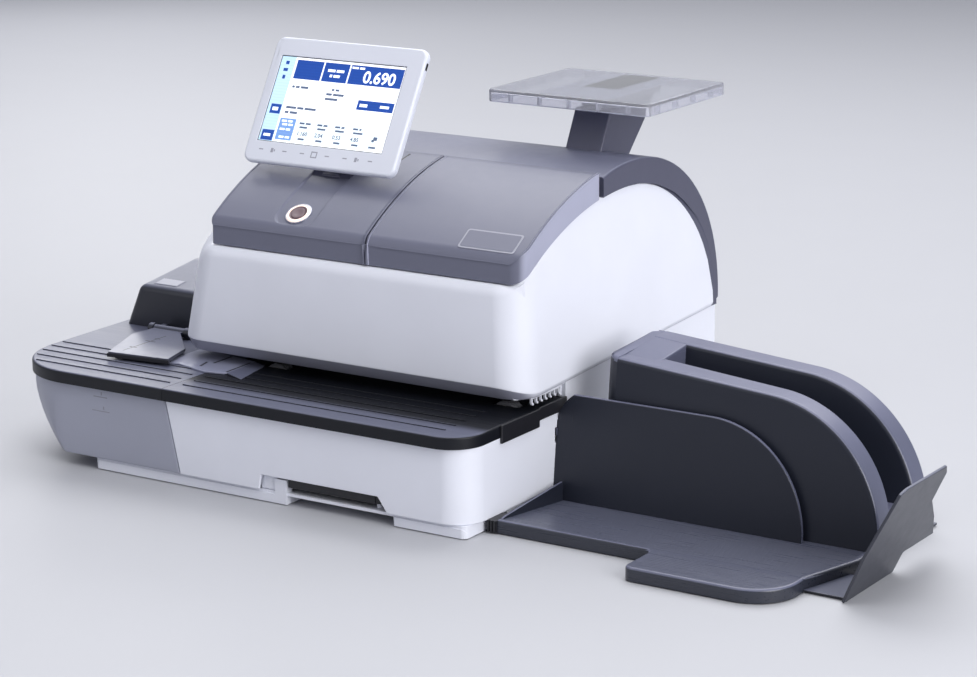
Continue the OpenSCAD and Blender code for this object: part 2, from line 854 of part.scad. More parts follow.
module cover_form(i, g, x0, x1, rl, rr) {
    intersection() {
        side_extrude(x0 + i, x1 - i)
            cover_side(i, g);
        translate([0, 0, seam_z - 20])
            linear_extrude(lid_crown_z - seam_z + 40)
                plan(x0 + i, lid_y0 + i, x1 - i, lid_back - i,
                    [max(rl - i, 0), max(rr - i, 0), 0, 0]);
    }
}

// Start button: origin on the cover's top, z along the cover's normal
module button_frame() {
    translate([foot_x, button_y, lid_top(button_y)])
        rotate([lid_slope(button_y), 0, 0])
            children();
}

channel_w = 40;
channel_t = 1.5;
ring_h = 6;

module channel_cut() {
    ys = spread(button_y - 14, disp_pin_y + 24, prof_n);
    side_extrude(foot_x - channel_w / 2, foot_x + channel_w / 2)
        polygon(concat([for (y = ys) [y, lid_top(y) - channel_t]],
            [for (k = [0:prof_n]) let (y = ys[prof_n - k]) [y, lid_top(y) + 5]]));
}

slit_w = 1.6;
slits = [[lid_x0 - 32, 178, 220]];

module left_top_cover() {
    color("slategray")
        difference() {
            cover_form(0, seat_gap, cover_x0, lid_x0 - lid_gap, 12, 0);
            difference() {
                cover_form(wall, -over, cover_x0, lid_x0 - lid_gap, 12, 0);
                button_frame()
                    cylinder(r = button_r + ring_w + 4, h = 60, center = true);
                box([foot_x - 22, disp_pin_y - 24, seam_z], [foot_x + 22, disp_pin_y + 24, lid_crown_z]);
            }
            channel_cut();
            button_frame()
                cylinder(r = button_r + ring_w + run_clear, h = 60, center = true);
            for (s = slits)
                box([s[0] - slit_w, s[1], lid_top(s[1]) - 8],
                    [s[0], min(s[2], lid_back - 2 * wall), lid_crown_z]);
        }
}

module light_ring() {
    color("moccasin")
        button_frame()
            translate([0, 0, -ring_h - channel_t])
                difference() {
                    cylinder(r = button_r + ring_w, h = ring_h + 1);
                    translate([0, 0, -over])
                        cylinder(r = button_r + 2 * run_clear, h = ring_h + 3 * over);
                }
}

module start_button() {
    color("dimgray")
        button_frame()
            translate([0, 0, -ring_h - channel_t])
                cylinder(r = button_r, h = ring_h + button_travel + 0.5);
}

// Lid hinge: knuckles on the lid between knuckles on the rear cover
lid_pin_r = 1.5;
lid_knuckle_r = 2.7;
lid_pin_y = lid_back + hinge_gap / 2;
lid_pin_z = lid_top(lid_back) - 5;
knuckle_x = [lid_x0 + 20, cover_x1 - 32];
knuckle_l = 12;

module lid_knuckles(n) {
    for (x = knuckle_x)
        rod_x(lid_pin_y, lid_pin_z, lid_knuckle_r, x + n * (knuckle_l + ear_gap),
            x + n * (knuckle_l + ear_gap) + knuckle_l);
}

module pin_bores(c) {
    for (x = knuckle_x)
        rod_x(lid_pin_y, lid_pin_z, lid_pin_r + c, x - over, x + 2 * knuckle_l + ear_gap + over);
}

module cartridge_lid() {
    color("slategray")
        difference() {
            union() {
                difference() {
                    cover_form(0, lid_gap, lid_x0, cover_x1, 0, hous_corner_r - 6);
                    cover_form(wall, -over, lid_x0, cover_x1, 0, hous_corner_r - 6);
                }
                lid_knuckles(0);
                for (x = knuckle_x)
                    box([x, lid_back - over, lid_pin_z - 2], [x + knuckle_l, lid_pin_y, lid_pin_z + 2]);
            }
            pin_bores(run_clear);
        }
}

module lid_hinge_pins() {
    color("silver")
        for (x = knuckle_x)
            rod_x(lid_pin_y, lid_pin_z, lid_pin_r, x + 0.5, x + 2 * knuckle_l);
}

module rear_cover() {
    outer = arch_line(0);
    inner = arch_line(wall);
    hous_back = concat([for (k = [0:prof_n]) rear_arc(-seat_gap)[prof_n - k]],
        [for (y = spread(crown_y, arch_y0, 6)) [y, hous_top(y) + seat_gap]]);
    hous_deep = concat([for (k = [0:prof_n]) rear_arc(over)[prof_n - k]],
        [for (y = spread(crown_y, arch_y0 + wall, 6)) [y, hous_top(y) - over]]);
    color("dimgray")
        difference() {
            union() {
                difference() {
                    side_extrude(cover_x0, cover_x1)
                        polygon(concat(outer, hous_back));
                    side_extrude(cover_x0 + wall, cover_x1 - wall)
                        polygon(concat(inner, hous_deep));
                }
                lid_knuckles(1);
                for (x = knuckle_x)
                    box([x + knuckle_l + ear_gap, lid_pin_y, lid_pin_z - 2],
                        [x + 2 * knuckle_l + ear_gap, arch_y0 + over, lid_pin_z + 2]);
            }
            pin_bores(0);
            column_shape(col_clear, crown_z - 30, arch_top_z + 20);
        }
}

inlet_z = [panel_z[0] + 8, panel_z[0] + 32];
port_x = [-120, -100, -80];
port_w = 14;
port_z = [panel_z[0] + 12, panel_z[0] + 24];

module rear_panel() {
    color("dimgray")
        difference() {
            box([panel_x[0] + seat_gap, base_d - wall, panel_z[0] + seat_gap],
                [panel_x[1] - seat_gap, base_d - 0.5, panel_z[1] - seat_gap]);
            box([inlet_x[0], base_d - wall - over, inlet_z[0]], [inlet_x[1], base_d + over, inlet_z[1]]);
            for (x = port_x)
                box([x, base_d - wall - over, port_z[0]], [x + port_w, base_d + over, port_z[1]]);
        }
}

module power_inlet() {
    color("black")
        difference() {
            union() {
                box([inlet_x[0] + seat_gap, base_d - 25, inlet_z[0] + seat_gap],
                    [inlet_x[1] - seat_gap, base_d, inlet_z[1] - seat_gap]);
                box([inlet_x[0] - 3, base_d - 0.5, inlet_z[0] - 2],
                    [inlet_x[1] + 3, base_d + 1, inlet_z[1] + 2]);
            }
            box([inlet_x[0] + 3.5, base_d - 18, inlet_z[0] + 3.5],
                [inlet_x[1] - 3.5, base_d + 2, inlet_z[1] - 3.5]);
        }
}

// Display parts lie in a frame that leans back: x across, y up the face, z outwards
module disp_frame() {
    translate([disp_x, disp_y, disp_z])
        rotate([90 - disp_tilt, 0, 0])
            children();
}

disp_corner_r = 8;
glass_t = 2;
lcd_y0 = (disp_h - lcd_h) / 2 + lcd_up;

module display_bezel() {
    color("lightsteelblue")
        disp_frame()
            difference() {
                translate([0, 0, -bezel_t])
                    linear_extrude(bezel_t)
                        plan(-disp_w / 2, 0, disp_w / 2, disp_h,
                            [disp_corner_r, disp_corner_r, disp_corner_r, disp_corner_r]);
                translate([-lcd_shift - lcd_w / 2, lcd_y0, -bezel_t - over])
                    cube([lcd_w, lcd_h, bezel_t + 2 * over]);
            }
}

module display_glass() {
    color("skyblue")
        disp_frame()
            translate([-lcd_shift - lcd_w / 2 + seat_gap, lcd_y0 + seat_gap, -bezel_t])
                cube([lcd_w - 2 * seat_gap, lcd_h - 2 * seat_gap, bezel_t - glass_t / 2]);
}

module display_back() {
    color("lightsteelblue")
        difference() {
            union() {
                disp_frame()
                    translate([0, 0, -bezel_t - back_t])
                        linear_extrude(back_t)
                            plan(-disp_w / 2 + back_in, back_in, disp_w / 2 - back_in, disp_h - back_in,
                                [disp_corner_r, disp_corner_r, disp_corner_r, disp_corner_r]);
                rod_x(disp_pin_y, disp_pin_z, disp_pin_r + 4, foot_x - knuckle_w / 2, foot_x + knuckle_w / 2);
                disp_frame()
                    translate([disp_shift - knuckle_w / 2, disp_pin_up - disp_pin_r - 4, -disp_pin_back])
                        cube([knuckle_w, 2 * disp_pin_r + 8, disp_pin_back - bezel_t - 1]);
            }
            rod_x(disp_pin_y, disp_pin_z, disp_pin_r + run_clear, foot_x - knuckle_w, foot_x + knuckle_w);
        }
}

foot_ys = spread(disp_pin_y - 20, disp_pin_y + 20, 6);
ear_x = knuckle_w / 2 + ear_gap;
foot_gap = 0.1;

module display_foot() {
    color("dimgray")
        difference() {
            union() {
                for (x = [foot_x - ear_x - ear_w, foot_x + ear_x]) {
                    side_extrude(x, x + ear_w)
                        polygon(concat([for (y = foot_ys) [y, lid_top(y) - channel_t + foot_gap]],
                            [[disp_pin_y + disp_pin_r + 4, disp_pin_z],
                                [disp_pin_y - disp_pin_r - 4, disp_pin_z]]));
                    rod_x(disp_pin_y, disp_pin_z, disp_pin_r + 4, x, x + ear_w);
                }
                side_extrude(foot_x - ear_x - over, foot_x + ear_x + over)
                    polygon(concat([for (y = foot_ys) [y, lid_top(y) - channel_t + foot_gap]],
                        [for (k = [0:6]) let (y = foot_ys[6 - k]) [y, lid_top(y) + 2.5 - channel_t]]));
            }
            rod_x(disp_pin_y, disp_pin_z, disp_pin_r, foot_x - 50, foot_x + 50);
        }
}

module display_pin() {
    color("silver")
        rod_x(disp_pin_y, disp_pin_z, disp_pin_r, foot_x - ear_x - ear_w + 1, foot_x + ear_x + ear_w - 1);
}

// Chassis: plates across the path carry the shafts, cross plates carry the rods
chassis_ends = [30, 20];
chassis_x0 = entry_x - chassis_ends[0];
chassis_x1 = exit_x + chassis_ends[1];
motor_edge = 8;
motor_plate_x = [motor_x - motor_r - motor_edge, motor_x + motor_r + motor_edge];

module chassis() {
    color("silver")
        difference() {
            union() {
                box([chassis_x0, chassis_y0, plate_z], [chassis_x1, chassis_y1, plate_z + sheet]);
                for (y = [chassis_y0, chassis_y1 - sheet])
                    box([chassis_x0, y, plate_z], [chassis_x1, y + sheet, chassis_z1]);
                for (x = [rod_x0, rod_x1 - wall])
                    box([x, chassis_y0, plate_z], [x + wall, chassis_y1, rod_z + 8]);
                box([motor_plate_x[0], chassis_y1 - sheet, chassis_z1 - sheet],
                    [motor_plate_x[1], motor_y, chassis_z1]);
                box([motor_plate_x[0], motor_y - sheet, motor_z - motor_r],
                    [motor_plate_x[1], motor_y, chassis_z1]);
            }
            for (x = [entry_x, exit_x])
                rod_y(x, drive_z, bush_r, chassis_y0 - over, chassis_y1 + over);
            roller_slots(drive_r, plate_z - over, plate_z + sheet + over);
            box([head_x - head_l / 2, row_a + 5, plate_z - over],
                [head_x + head_l / 2, row_b + roller_w - 5, plate_z + sheet + over]);
            for (y = rod_y)
                rod_x(y, rod_z, rod_r, rod_x0 - over, rod_x1 + over);
            rod_y(motor_x, motor_z, pinion_r + 3, motor_y - sheet - over, motor_y + over);
        }
}

module shaft_bushes() {
    color("goldenrod")
        for (x = [entry_x, exit_x], y = [chassis_y0, chassis_y1 - sheet])
            difference() {
                rod_y(x, drive_z, bush_r, y, y + sheet);
                rod_y(x, drive_z, shaft_r + run_clear, y - over, y + sheet + over);
            }
}

module drive_shaft(x, y1) {
    color("silver")
        rod_y(x, drive_z, shaft_r, chassis_y0 - 2, y1);
    color("dimgray")
        rod_y(x, drive_z, pulley_r, belt_y, belt_y + belt_w);
}

module roller_pair(x, z, r, bore) {
    difference() {
        for (y = rows)
            rod_y(x, z, r, y, y + roller_w);
        rod_y(x, z, bore, row_a - over, row_b + roller_w + over);
    }
}

module entry_drive_shaft() {
    drive_shaft(entry_x, gear_y + gear_w);
}

module exit_drive_shaft() {
    drive_shaft(exit_x, belt_y + belt_w);
}

module entry_drive_rollers() {
    color("black")
        roller_pair(entry_x, drive_z, drive_r, shaft_r);
}

module exit_drive_rollers() {
    color("black")
        roller_pair(exit_x, drive_z, drive_r, shaft_r);
}

// Spur gear outline with straight tooth flanks
module gear_outline(n, turn) {
    r = gear_m * n / 2;
    tooth = 360 / n;
    points = [for (k = [0:n - 1], p = [[-0.34, -1.25], [-0.15, 0.9], [0.15, 0.9], [0.34, -1.25]])
        let (a = turn + tooth * (k + p[0] * 0.93))
        (r + p[1] * gear_m) * [cos(a), sin(a)]];
    polygon(points);
}

module drive_gear() {
    color("ivory")
        difference() {
            translate([entry_x, gear_y + gear_w, drive_z])
                rotate([90, 0, 0])
                    linear_extrude(gear_w)
                        gear_outline(gear_n, pinion_a);
            rod_y(entry_x, drive_z, shaft_r, gear_y - over, gear_y + gear_w + over);
        }
}

module motor_pinion() {
    color("ivory")
        translate([motor_x, gear_y + gear_w, motor_z])
            rotate([90, 0, 0])
                linear_extrude(gear_w)
                    gear_outline(pinion_n, 180 + pinion_a + 180 / pinion_n);
    color("silver")
        rod_y(motor_x, motor_z, pinion_r, gear_y, motor_y + 8);
}

motor_l = 40;

module feed_motor() {
    color("darkgray")
        difference() {
            rod_y(motor_x, motor_z, motor_r, motor_y, motor_y + motor_l);
            rod_y(motor_x, motor_z, pinion_r + run_clear, motor_y - over, motor_y + 9);
        }
}

belt_gap = 0.3;
belt_t = 1.5;

module belt_loop(r) {
    translate([exit_x, drive_z])
        circle(r);
    translate([entry_x, drive_z])
        circle(r);
    translate([entry_x, drive_z - r])
        square([exit_x - entry_x, 2 * r]);
}

module transport_belt() {
    color("black")
        front_extrude(belt_y + 1, belt_y + belt_w - 1)
            difference() {
                belt_loop(pulley_r + belt_gap + belt_t);
                belt_loop(pulley_r + belt_gap);
            }
}

module pressure_carriage() {
    color("silver")
        difference() {
            union() {
                box([entry_x - 18, press_y[0], press_z0], [exit_x + 18, press_y[1], press_z0 + press_t]);
                for (x = [entry_x, exit_x], y = [press_y[0], press_y[1] - sheet])
                    box([x - 8, y, press_z0], [x + 8, y + sheet, press_z + axle_r + 2]);
            }
            for (x = [entry_x, exit_x])
                rod_y(x, press_z, axle_r + run_clear, press_y[0] - over, press_y[1] + over);
            for (x = post_x)
                translate([x, row_mid, press_z0 - over])
                    cylinder(r = post_r + run_clear, h = press_t + 2 * over);
        }
}

module pressure_springs() {
    color("silver")
        for (x = post_x)
            translate([x, row_mid, skid_h])
                difference() {
                    cylinder(r = post_r + 3, h = press_z0 - skid_h);
                    translate([0, 0, -over])
                        cylinder(r = post_r + 0.6, h = press_z0 - skid_h + 2 * over);
                }
}

module entry_pressure_axle() {
    color("silver")
        rod_y(entry_x, press_z, axle_r, press_y[0] - 0.5, press_y[1] + 0.5);
}

module exit_pressure_axle() {
    color("silver")
        rod_y(exit_x, press_z, axle_r, press_y[0] - 0.5, press_y[1] + 0.5);
}

module entry_pressure_rollers() {
    color("gray")
        roller_pair(entry_x, press_z, press_r, axle_r);
}

module exit_pressure_rollers() {
    color("gray")
        roller_pair(exit_x, press_z, press_r, axle_r);
}

module release_lever() {
    color("black")
        difference() {
            union() {
                box([lever_x - lever_l, lever_y - 8, lever_z], [lever_x, lever_y - 2, lever_z + lever_t]);
                translate([lever_x, lever_y, lever_z])
                    cylinder(r = pin_r + 4, h = lever_t);
                box([lever_x - 4, lever_y, lever_z], [lever_x + 4, lever_y + 58, lever_z + lever_t - 1.5]);
            }
            translate([lever_x, lever_y, lever_z - over])
                cylinder(r = pin_r + run_clear, h = lever_t + 2 * over);
        }
}

module guide_rods() {
    color("silver")
        for (y = rod_y)
            rod_x(y, rod_z, rod_r, rod_x0, rod_x1);
}

head_z = plate_z + sheet + 1.3;
head_top_z = rod_z + 6;
head_y = [chassis_y0 + sheet + 2, chassis_y1 - sheet - 2];

module print_carriage() {
    color("dimgray")
        difference() {
            union() {
                box([head_x - head_l / 2, head_y[0], head_z + 6],
                    [head_x + head_l / 2, head_y[1], head_top_z]);
                box([head_x - 10, row_mid - 11, head_z], [head_x + 10, row_mid + 11, head_z + 7]);
            }
            for (y = rod_y)
                rod_x(y, rod_z, rod_r + run_clear, rod_x0, rod_x1);
        }
}

cartridge_h = 52;

module ink_cartridge() {
    color("midnightblue")
        box([head_x - head_l / 2 + 4, head_y[0] + 3, head_top_z],
            [head_x + head_l / 2 - 4, head_y[1] - 3, head_top_z + cartridge_h]);
}

wiper_x = head_x + carriage_travel;

module wiper_station() {
    color("dimgray") {
        box([wiper_x - 12, row_mid - 13, plate_z + sheet], [wiper_x + 12, row_mid + 13, head_z - 0.6]);
        for (x = [-8, 0, 8])
            box([wiper_x + x - 1, row_mid - 11, plate_z + sheet],
                [wiper_x + x + 1, row_mid + 11, head_z - 0.3]);
    }
}

board_x = [-140, -16];
board_y = [base_d - 110, base_d - 20];
board_z = skid_h + 7;
board_edge = 6;
board_t = 1.6;
chip_in = 20;
chip = [42, 38, 13];

module main_board() {
    color("darkgreen") {
        box([board_x[0] - board_edge, board_y[0] - board_edge, board_z],
            [board_x[1] + board_edge, board_y[1] + board_edge, board_z + board_t]);
        translate([board_x[0] + chip_in, board_y[0] + chip_in, board_z])
            cube(chip);
        for (x = port_x)
            box([x + seat_gap, base_d - 20, board_z],
                [x + port_w - seat_gap, base_d - wall, port_z[1] - seat_gap]);
    }
}

supply_l = 164;
supply_h = 42;

module power_supply() {
    x0 = -base_w + supply_in;
    y1 = base_d - 2 * wall;
    color("darkgray")
        box([x0, y1 - supply_l, skid_h], [x0 + supply_w, y1, skid_h + supply_h]);
}

post_w = 34;
post_d = 24;

// Sheet post that carries the fixed end of the load cell
module scale_post() {
    color("silver")
        difference() {
            box([col_x - post_w / 2, col_y0 - 18, skid_h],
                [col_x + post_w / 2, col_y0 - 18 + post_d, cell_z - cell_gap]);
            box([col_x - post_w / 2 + sheet, col_y0 - 18 - over, skid_h + sheet],
                [col_x + post_w / 2 - sheet, col_y0 - 18 + post_d - sheet, cell_z - cell_gap - sheet]);
        }
}

module load_cell() {
    color("lightgray")
        difference() {
            box([col_x - 14, col_y0 - 18, cell_z], [col_x + 14, col_y0 + col_d, cell_z + cell_t]);
            for (y = [22, 40])
                rod_x(col_y0 - 18 + y, cell_z + cell_t / 2, 6, col_x - 15, col_x + 15);
        }
}

module scale_column() {
    color("dimgray")
        column_shape(0, col_foot_z, col_top_z - carrier_t);
}

plat_set = 21;
plat_y = col_y0 + col_lean * (col_top_z - col_foot_z) + plat_set;
plat_x = col_x;
carrier_w = 36;
carrier_y = [-12, 64];

module platform_carrier() {
    color("gray")
        box([plat_x - carrier_w / 2, plat_y + carrier_y[0], col_top_z - carrier_t],
            [plat_x + carrier_w / 2, plat_y + carrier_y[1], plat_z - wall]);
}

module weigh_platform() {
    color([0.85, 0.87, 0.9, 0.6])
        difference() {
            translate([0, 0, plat_z - plat_h])
                linear_extrude(plat_h)
                    plan(plat_x - plat_w / 2, plat_y - plat_d / 2, plat_x + plat_w / 2, plat_y + plat_d / 2,
                        [6, 6, 6, 6]);
            translate([0, 0, plat_z - plat_h - over])
                linear_extrude(plat_h - wall + over)
                    plan(plat_x - plat_w / 2 + wall, plat_y - plat_d / 2 + wall, plat_x + plat_w / 2 - wall,
                        plat_y + plat_d / 2 - wall, [3, 3, 3, 3]);
        }
}

// Catch tray: the floor's outline and its folded section
floor_flare = 17;

module floor_plan() {
    x_step = tray_x0 + tray_step_x;
    r = 8;
    difference() {
        union() {
            translate([tray_x0, tray_step_y])
                square([tray_w - 20, liner_y + 12 - tray_step_y]);
            plan(x_step, -tray_reach, tray_x1, tray_step_y + tray_corner_r, [r, tray_corner_r, 0, 0]);
            polygon([[twall_x0, tray_step_y], [tray_x1, tray_step_y], [tray_x1 + floor_flare, 92],
                [tray_x1 + floor_flare, floor_back_y], [twall_x0, floor_back_y]]);
            translate([x_step - r, tray_step_y - r])
                difference() {
                    square(r + over);
                    circle(r);
                }
        }
    }
}

function floor_top(y) =
    y < tray_step_y ? rim_h :
    y > liner_y ? floor_low_z :
    rim_h + (floor_low_z - rim_h) * (y - tray_step_y) / (liner_y - tray_step_y);

stop_y = tray_step_y - 6;
flange_y = [stop_y + 6, stop_y + 58];
flange_t = 1.6;
flange_z = foot_t + 0.2;
flange_l = 80;

module tray_floor() {
    color("darkslategray")
        difference() {
            intersection() {
                translate([0, 0, foot_t])
                    linear_extrude(rim_h)
                        floor_plan();
                side_extrude(0, 2 * tray_w)
                    polygon([[-2 * tray_reach, foot_t], [-2 * tray_reach, rim_h], [tray_step_y, rim_h],
                        [liner_y, floor_low_z], [2 * floor_back_y, floor_low_z], [2 * floor_back_y, foot_t]]);
            }
            box([tray_x0 + tray_step_x + wall, wall - tray_reach, 0],
                [tray_x1 - tray_corner_r, tray_step_y - wall, rim_h - wall]);
            side_extrude(tray_x0 + wall, stop_x - flange_l - 12)
                polygon([[tray_step_y + wall, 0], [tray_step_y + wall, floor_top(tray_step_y + wall) - wall],
                    [liner_y - 34, floor_top(liner_y - 34) - wall], [liner_y - 34, 0]]);
            box([stop_x - flange_l - 11, flange_y[0] - slide_gap, 0],
                [stop_x, flange_y[1] + slide_gap, flange_z + flange_t + slide_gap]);
        }
}

// A slab that leans back, between two depths at the foot
module lean_slab(y0, y1, z0, z1, x0, x1) {
    side_extrude(x0, x1)
        polygon([[y0 + tray_lean * z0, z0], [y1 + tray_lean * z0, z0], [y1 + tray_lean * z1, z1],
            [y0 + tray_lean * z1, z1]]);
}

// Outline with a straight top and a round right end
module round_end(x0, cx, cz, r, z0) {
    difference() {
        union() {
            translate([x0, z0])
                square([cx - x0, cz + r - z0]);
            translate([cx, cz])
                circle(r, $fn = 96);
        }
        translate([x0 - 2 * r, z0 - 2 * r])
            square([2 * r, 4 * r]);
        translate([x0 - 2 * r, z0 - 2 * r])
            square([6 * r, 2 * r]);
    }
}

liner_x0 = tray_x0 + 6;
liner_flat = 127;
liner_foot = floor_low_z + seat_gap;

module tray_liner() {
    color("darkslategray") {
        intersection() {
            front_extrude(0, floor_back_y)
                round_end(liner_x0, liner_x0 + liner_flat, liner_h - liner_r, liner_r, liner_foot);
            lean_slab(liner_y, liner_y + liner_t, 0, 2 * liner_h, 0, tray_x1);
        }
        lean_slab(liner_y, liner_y + 12, liner_foot, guide_z[0] - 1, seat_gap, liner_x0 + over);
        for (z = hook_z) {
            box([-2 * wall, hook_y[0], z], [over, hook_y[1], z + hook_h]);
            box([-2 * wall, hook_y[0], z - hook_h], [-wall - 0.4, hook_y[1], z + over]);
        }
    }
}

slot_foot = 25;
slot_in = 31;
wall_rise = 5;

// One arch of the tray wall: a top that falls to the right into a round end
module arch_outline(i, rise) {
    cx = tray_x1 + 11 - twall_r;
    cz = twall_h - twall_fall * (cx - twall_x0) - twall_r;
    r = twall_r + rise - i;
    difference() {
        union() {
            polygon([[twall_x0 + i, liner_foot], [twall_x0 + i, twall_h + rise - i],
                [cx + r * sin(atan(twall_fall)), cz + r * cos(atan(twall_fall))], [cx, liner_foot]]);
            translate([cx, cz])
                circle(r, $fn = 96);
        }
        translate([twall_x0 - 3 * twall_r, liner_foot - 4 * twall_r])
            square([6 * twall_r, 4 * twall_r]);
        translate([twall_x0 + i - 4 * twall_r, -2 * twall_r])
            square([4 * twall_r, 4 * twall_r]);
    }
}

module arch_form(i, y0, y1, rise) {
    intersection() {
        front_extrude(0, 2 * floor_back_y)
            arch_outline(i, rise);
        lean_slab(y0, y1, 0, 2 * twall_h, 0, 2 * tray_w);
    }
}

module tray_wall() {
    y0 = twall_y;
    y1 = twall_y + twall_d;
    color("darkslategray")
        difference() {
            union() {
                arch_form(0, y0, y0 + arch_t, 0);
                arch_form(0, y1 - arch_t, y1, wall_rise);
                intersection() {
                    arch_form(0, y0 + arch_t - over, y1 - arch_t + over, 0);
                    union() {
                        box([twall_x0, 0, 0], [twall_x0 + slot_in, 2 * floor_back_y, 2 * twall_h]);
                        box([twall_x0, 0, 0], [2 * tray_w, 2 * floor_back_y, slot_foot]);
                    }
                }
            }
            translate([0, 0, -over])
                arch_form(wall, y0 + wall, y0 + arch_t - wall, 0);
            translate([0, 0, -over])
                arch_form(wall, y1 - arch_t + wall, y1 - wall, wall_rise);
        }
}

// End stop: a leaning plate with a swept tab, and a flange that slides under the floor
module end_stop() {
    color("darkslategray") {
        translate([stop_x, stop_y, flange_z])
            rotate([0, stop_lean, 0])
                side_extrude(0, stop_t)
                    polygon([[0, 0], [stop_w - 6, 0], [stop_w - 6, 19], [stop_w + 50, 19],
                        [stop_w + 28, 43], [stop_w, 67], [stop_w, stop_h - 8], [stop_w - 8, stop_h],
                        [14, stop_h], [5, stop_h - 3], [-5, 43]]);
        box([stop_x - flange_l, flange_y[0], flange_z], [stop_x + 0.5, flange_y[1], flange_z + flange_t]);
    }
}

module placed() {
    translate([-origin_x, -origin_y, 0])
        children();
}

placed() base_shell();
placed() base_pan();
placed() rubber_feet();
placed() base_screws();
placed() main_deck();
placed() exit_guide();
placed() sealer_frame();
placed() sealer_deck();
placed() sealer_housing();
placed() moistener_felt();
placed() guide_pin();
placed() flap_guide();
placed() water_tank();
placed() housing_shell();
placed() left_top_cover();
placed() cartridge_lid();
placed() lid_hinge_pins();
placed() rear_cover();
placed() rear_panel();
placed() power_inlet();
placed() light_ring();
placed() start_button();
placed() display_foot();
placed() display_pin();
placed() display_bezel();
placed() display_glass();
placed() display_back();
placed() chassis();
placed() shaft_bushes();
placed() entry_drive_shaft();
placed() entry_drive_rollers();
placed() drive_gear();
placed() exit_drive_shaft();
placed() exit_drive_rollers();
placed() motor_pinion();
placed() feed_motor();
placed() transport_belt();
placed() pressure_carriage();
placed() pressure_springs();
placed() entry_pressure_axle();
placed() entry_pressure_rollers();
placed() exit_pressure_axle();
placed() exit_pressure_rollers();
placed() release_lever();
placed() guide_rods();
placed() print_carriage();
placed() ink_cartridge();
placed() wiper_station();
placed() main_board();
placed() power_supply();
placed() scale_post();
placed() load_cell();
placed() scale_column();
placed() platform_carrier();
placed() weigh_platform();
placed() tray_floor();
placed() tray_liner();
placed() tray_wall();
placed() end_stop();
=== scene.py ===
"""Looks of a desktop postage meter with a moistener, a weighing platform and a catch tray.

Shapes are drawn in millimetres from the base's front right corner: x along the mail path, y to the
back, z up from the desk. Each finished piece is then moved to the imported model's frame, in metres.
"""

import logging
import math
from collections.abc import Callable, Iterable, Sequence
from dataclasses import dataclass
from enum import Enum

import bmesh
import bpy
from mathutils import Matrix, Vector


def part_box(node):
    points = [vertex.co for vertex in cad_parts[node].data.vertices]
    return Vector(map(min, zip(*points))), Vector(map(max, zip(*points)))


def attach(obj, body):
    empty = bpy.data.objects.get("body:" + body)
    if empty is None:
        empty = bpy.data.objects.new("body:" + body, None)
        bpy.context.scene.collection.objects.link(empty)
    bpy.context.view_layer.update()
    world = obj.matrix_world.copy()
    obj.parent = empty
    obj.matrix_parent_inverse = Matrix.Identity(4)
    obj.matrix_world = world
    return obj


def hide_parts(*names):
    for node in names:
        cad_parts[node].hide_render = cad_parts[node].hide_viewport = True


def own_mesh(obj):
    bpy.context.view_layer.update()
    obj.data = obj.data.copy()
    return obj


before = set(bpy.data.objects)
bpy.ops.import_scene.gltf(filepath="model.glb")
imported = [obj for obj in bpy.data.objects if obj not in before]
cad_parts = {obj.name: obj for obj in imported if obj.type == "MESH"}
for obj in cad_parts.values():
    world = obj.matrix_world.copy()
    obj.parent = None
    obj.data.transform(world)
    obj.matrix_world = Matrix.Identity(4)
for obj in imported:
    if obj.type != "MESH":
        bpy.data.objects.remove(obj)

log = logging.getLogger("postage_meter")

MM = 0.001
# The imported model's origin, in the outlines' millimetres
ORIGIN = Vector((-61.4434, 202.5, 0.0))
TO_ROW = Matrix.Scale(MM, 4) @ Matrix.Translation(-ORIGIN)
TO_OUTLINE = TO_ROW.inverted()
IMAGE_WIDTH = 977
SMOOTH_ANGLE = math.radians(35.0)

Pair = tuple[float, float]
Point = tuple[float, float, float]
Colour = tuple[float, float, float, float]
# A screen tile's left, top, right and lower edges as shares of the screen, and its layer
Tile = tuple[float, float, float, float, int]
EdgeTest = Callable[[Vector], bool]


def linear(colour: str) -> Colour:
    """Turns an sRGB hex colour to linear light.

    Args:
        colour: six hex digits after a hash.

    Returns:
        Linear red, green, blue and an alpha of 1.
    """
    parts = [int(colour[k:k + 2], 16) / 255 for k in (1, 3, 5)]
    light = [v / 12.92 if v <= 0.04045 else ((v + 0.055) / 1.055) ** 2.4 for v in parts]
    return (light[0], light[1], light[2], 1.0)


def shade(colour: str, gain: float) -> Colour:
    """Gives a hex colour made lighter or darker by a gain, as linear light."""
    red, green, blue, alpha = linear(colour)
    return (min(red * gain, 1.0), min(green * gain, 1.0), min(blue * gain, 1.0), alpha)


def add(tree: bpy.types.NodeTree, kind: str, settings: dict[str, object],
        links: dict[str | int, bpy.types.NodeSocket] | None = None) -> bpy.types.Node:
    """Adds one node with its settings and links.

    Args:
        tree: the node tree that gets the node.
        kind: the node's type name.
        settings: values for its properties, or for its inputs by name.
        links: sockets that feed its inputs, by name or place.

    Returns:
        The new node.
    """
    node = tree.nodes.new(kind)
    for key, value in settings.items():
        if key in node.inputs:
            node.inputs[key].default_value = value
        else:
            setattr(node, key, value)
    for key, socket in (links or {}).items():
        tree.links.new(socket, node.inputs[key])
    return node


def per_mm(size: float) -> float:
    """Gives the texture scale whose features are about a size in millimetres."""
    return 1.0 / (size * MM)


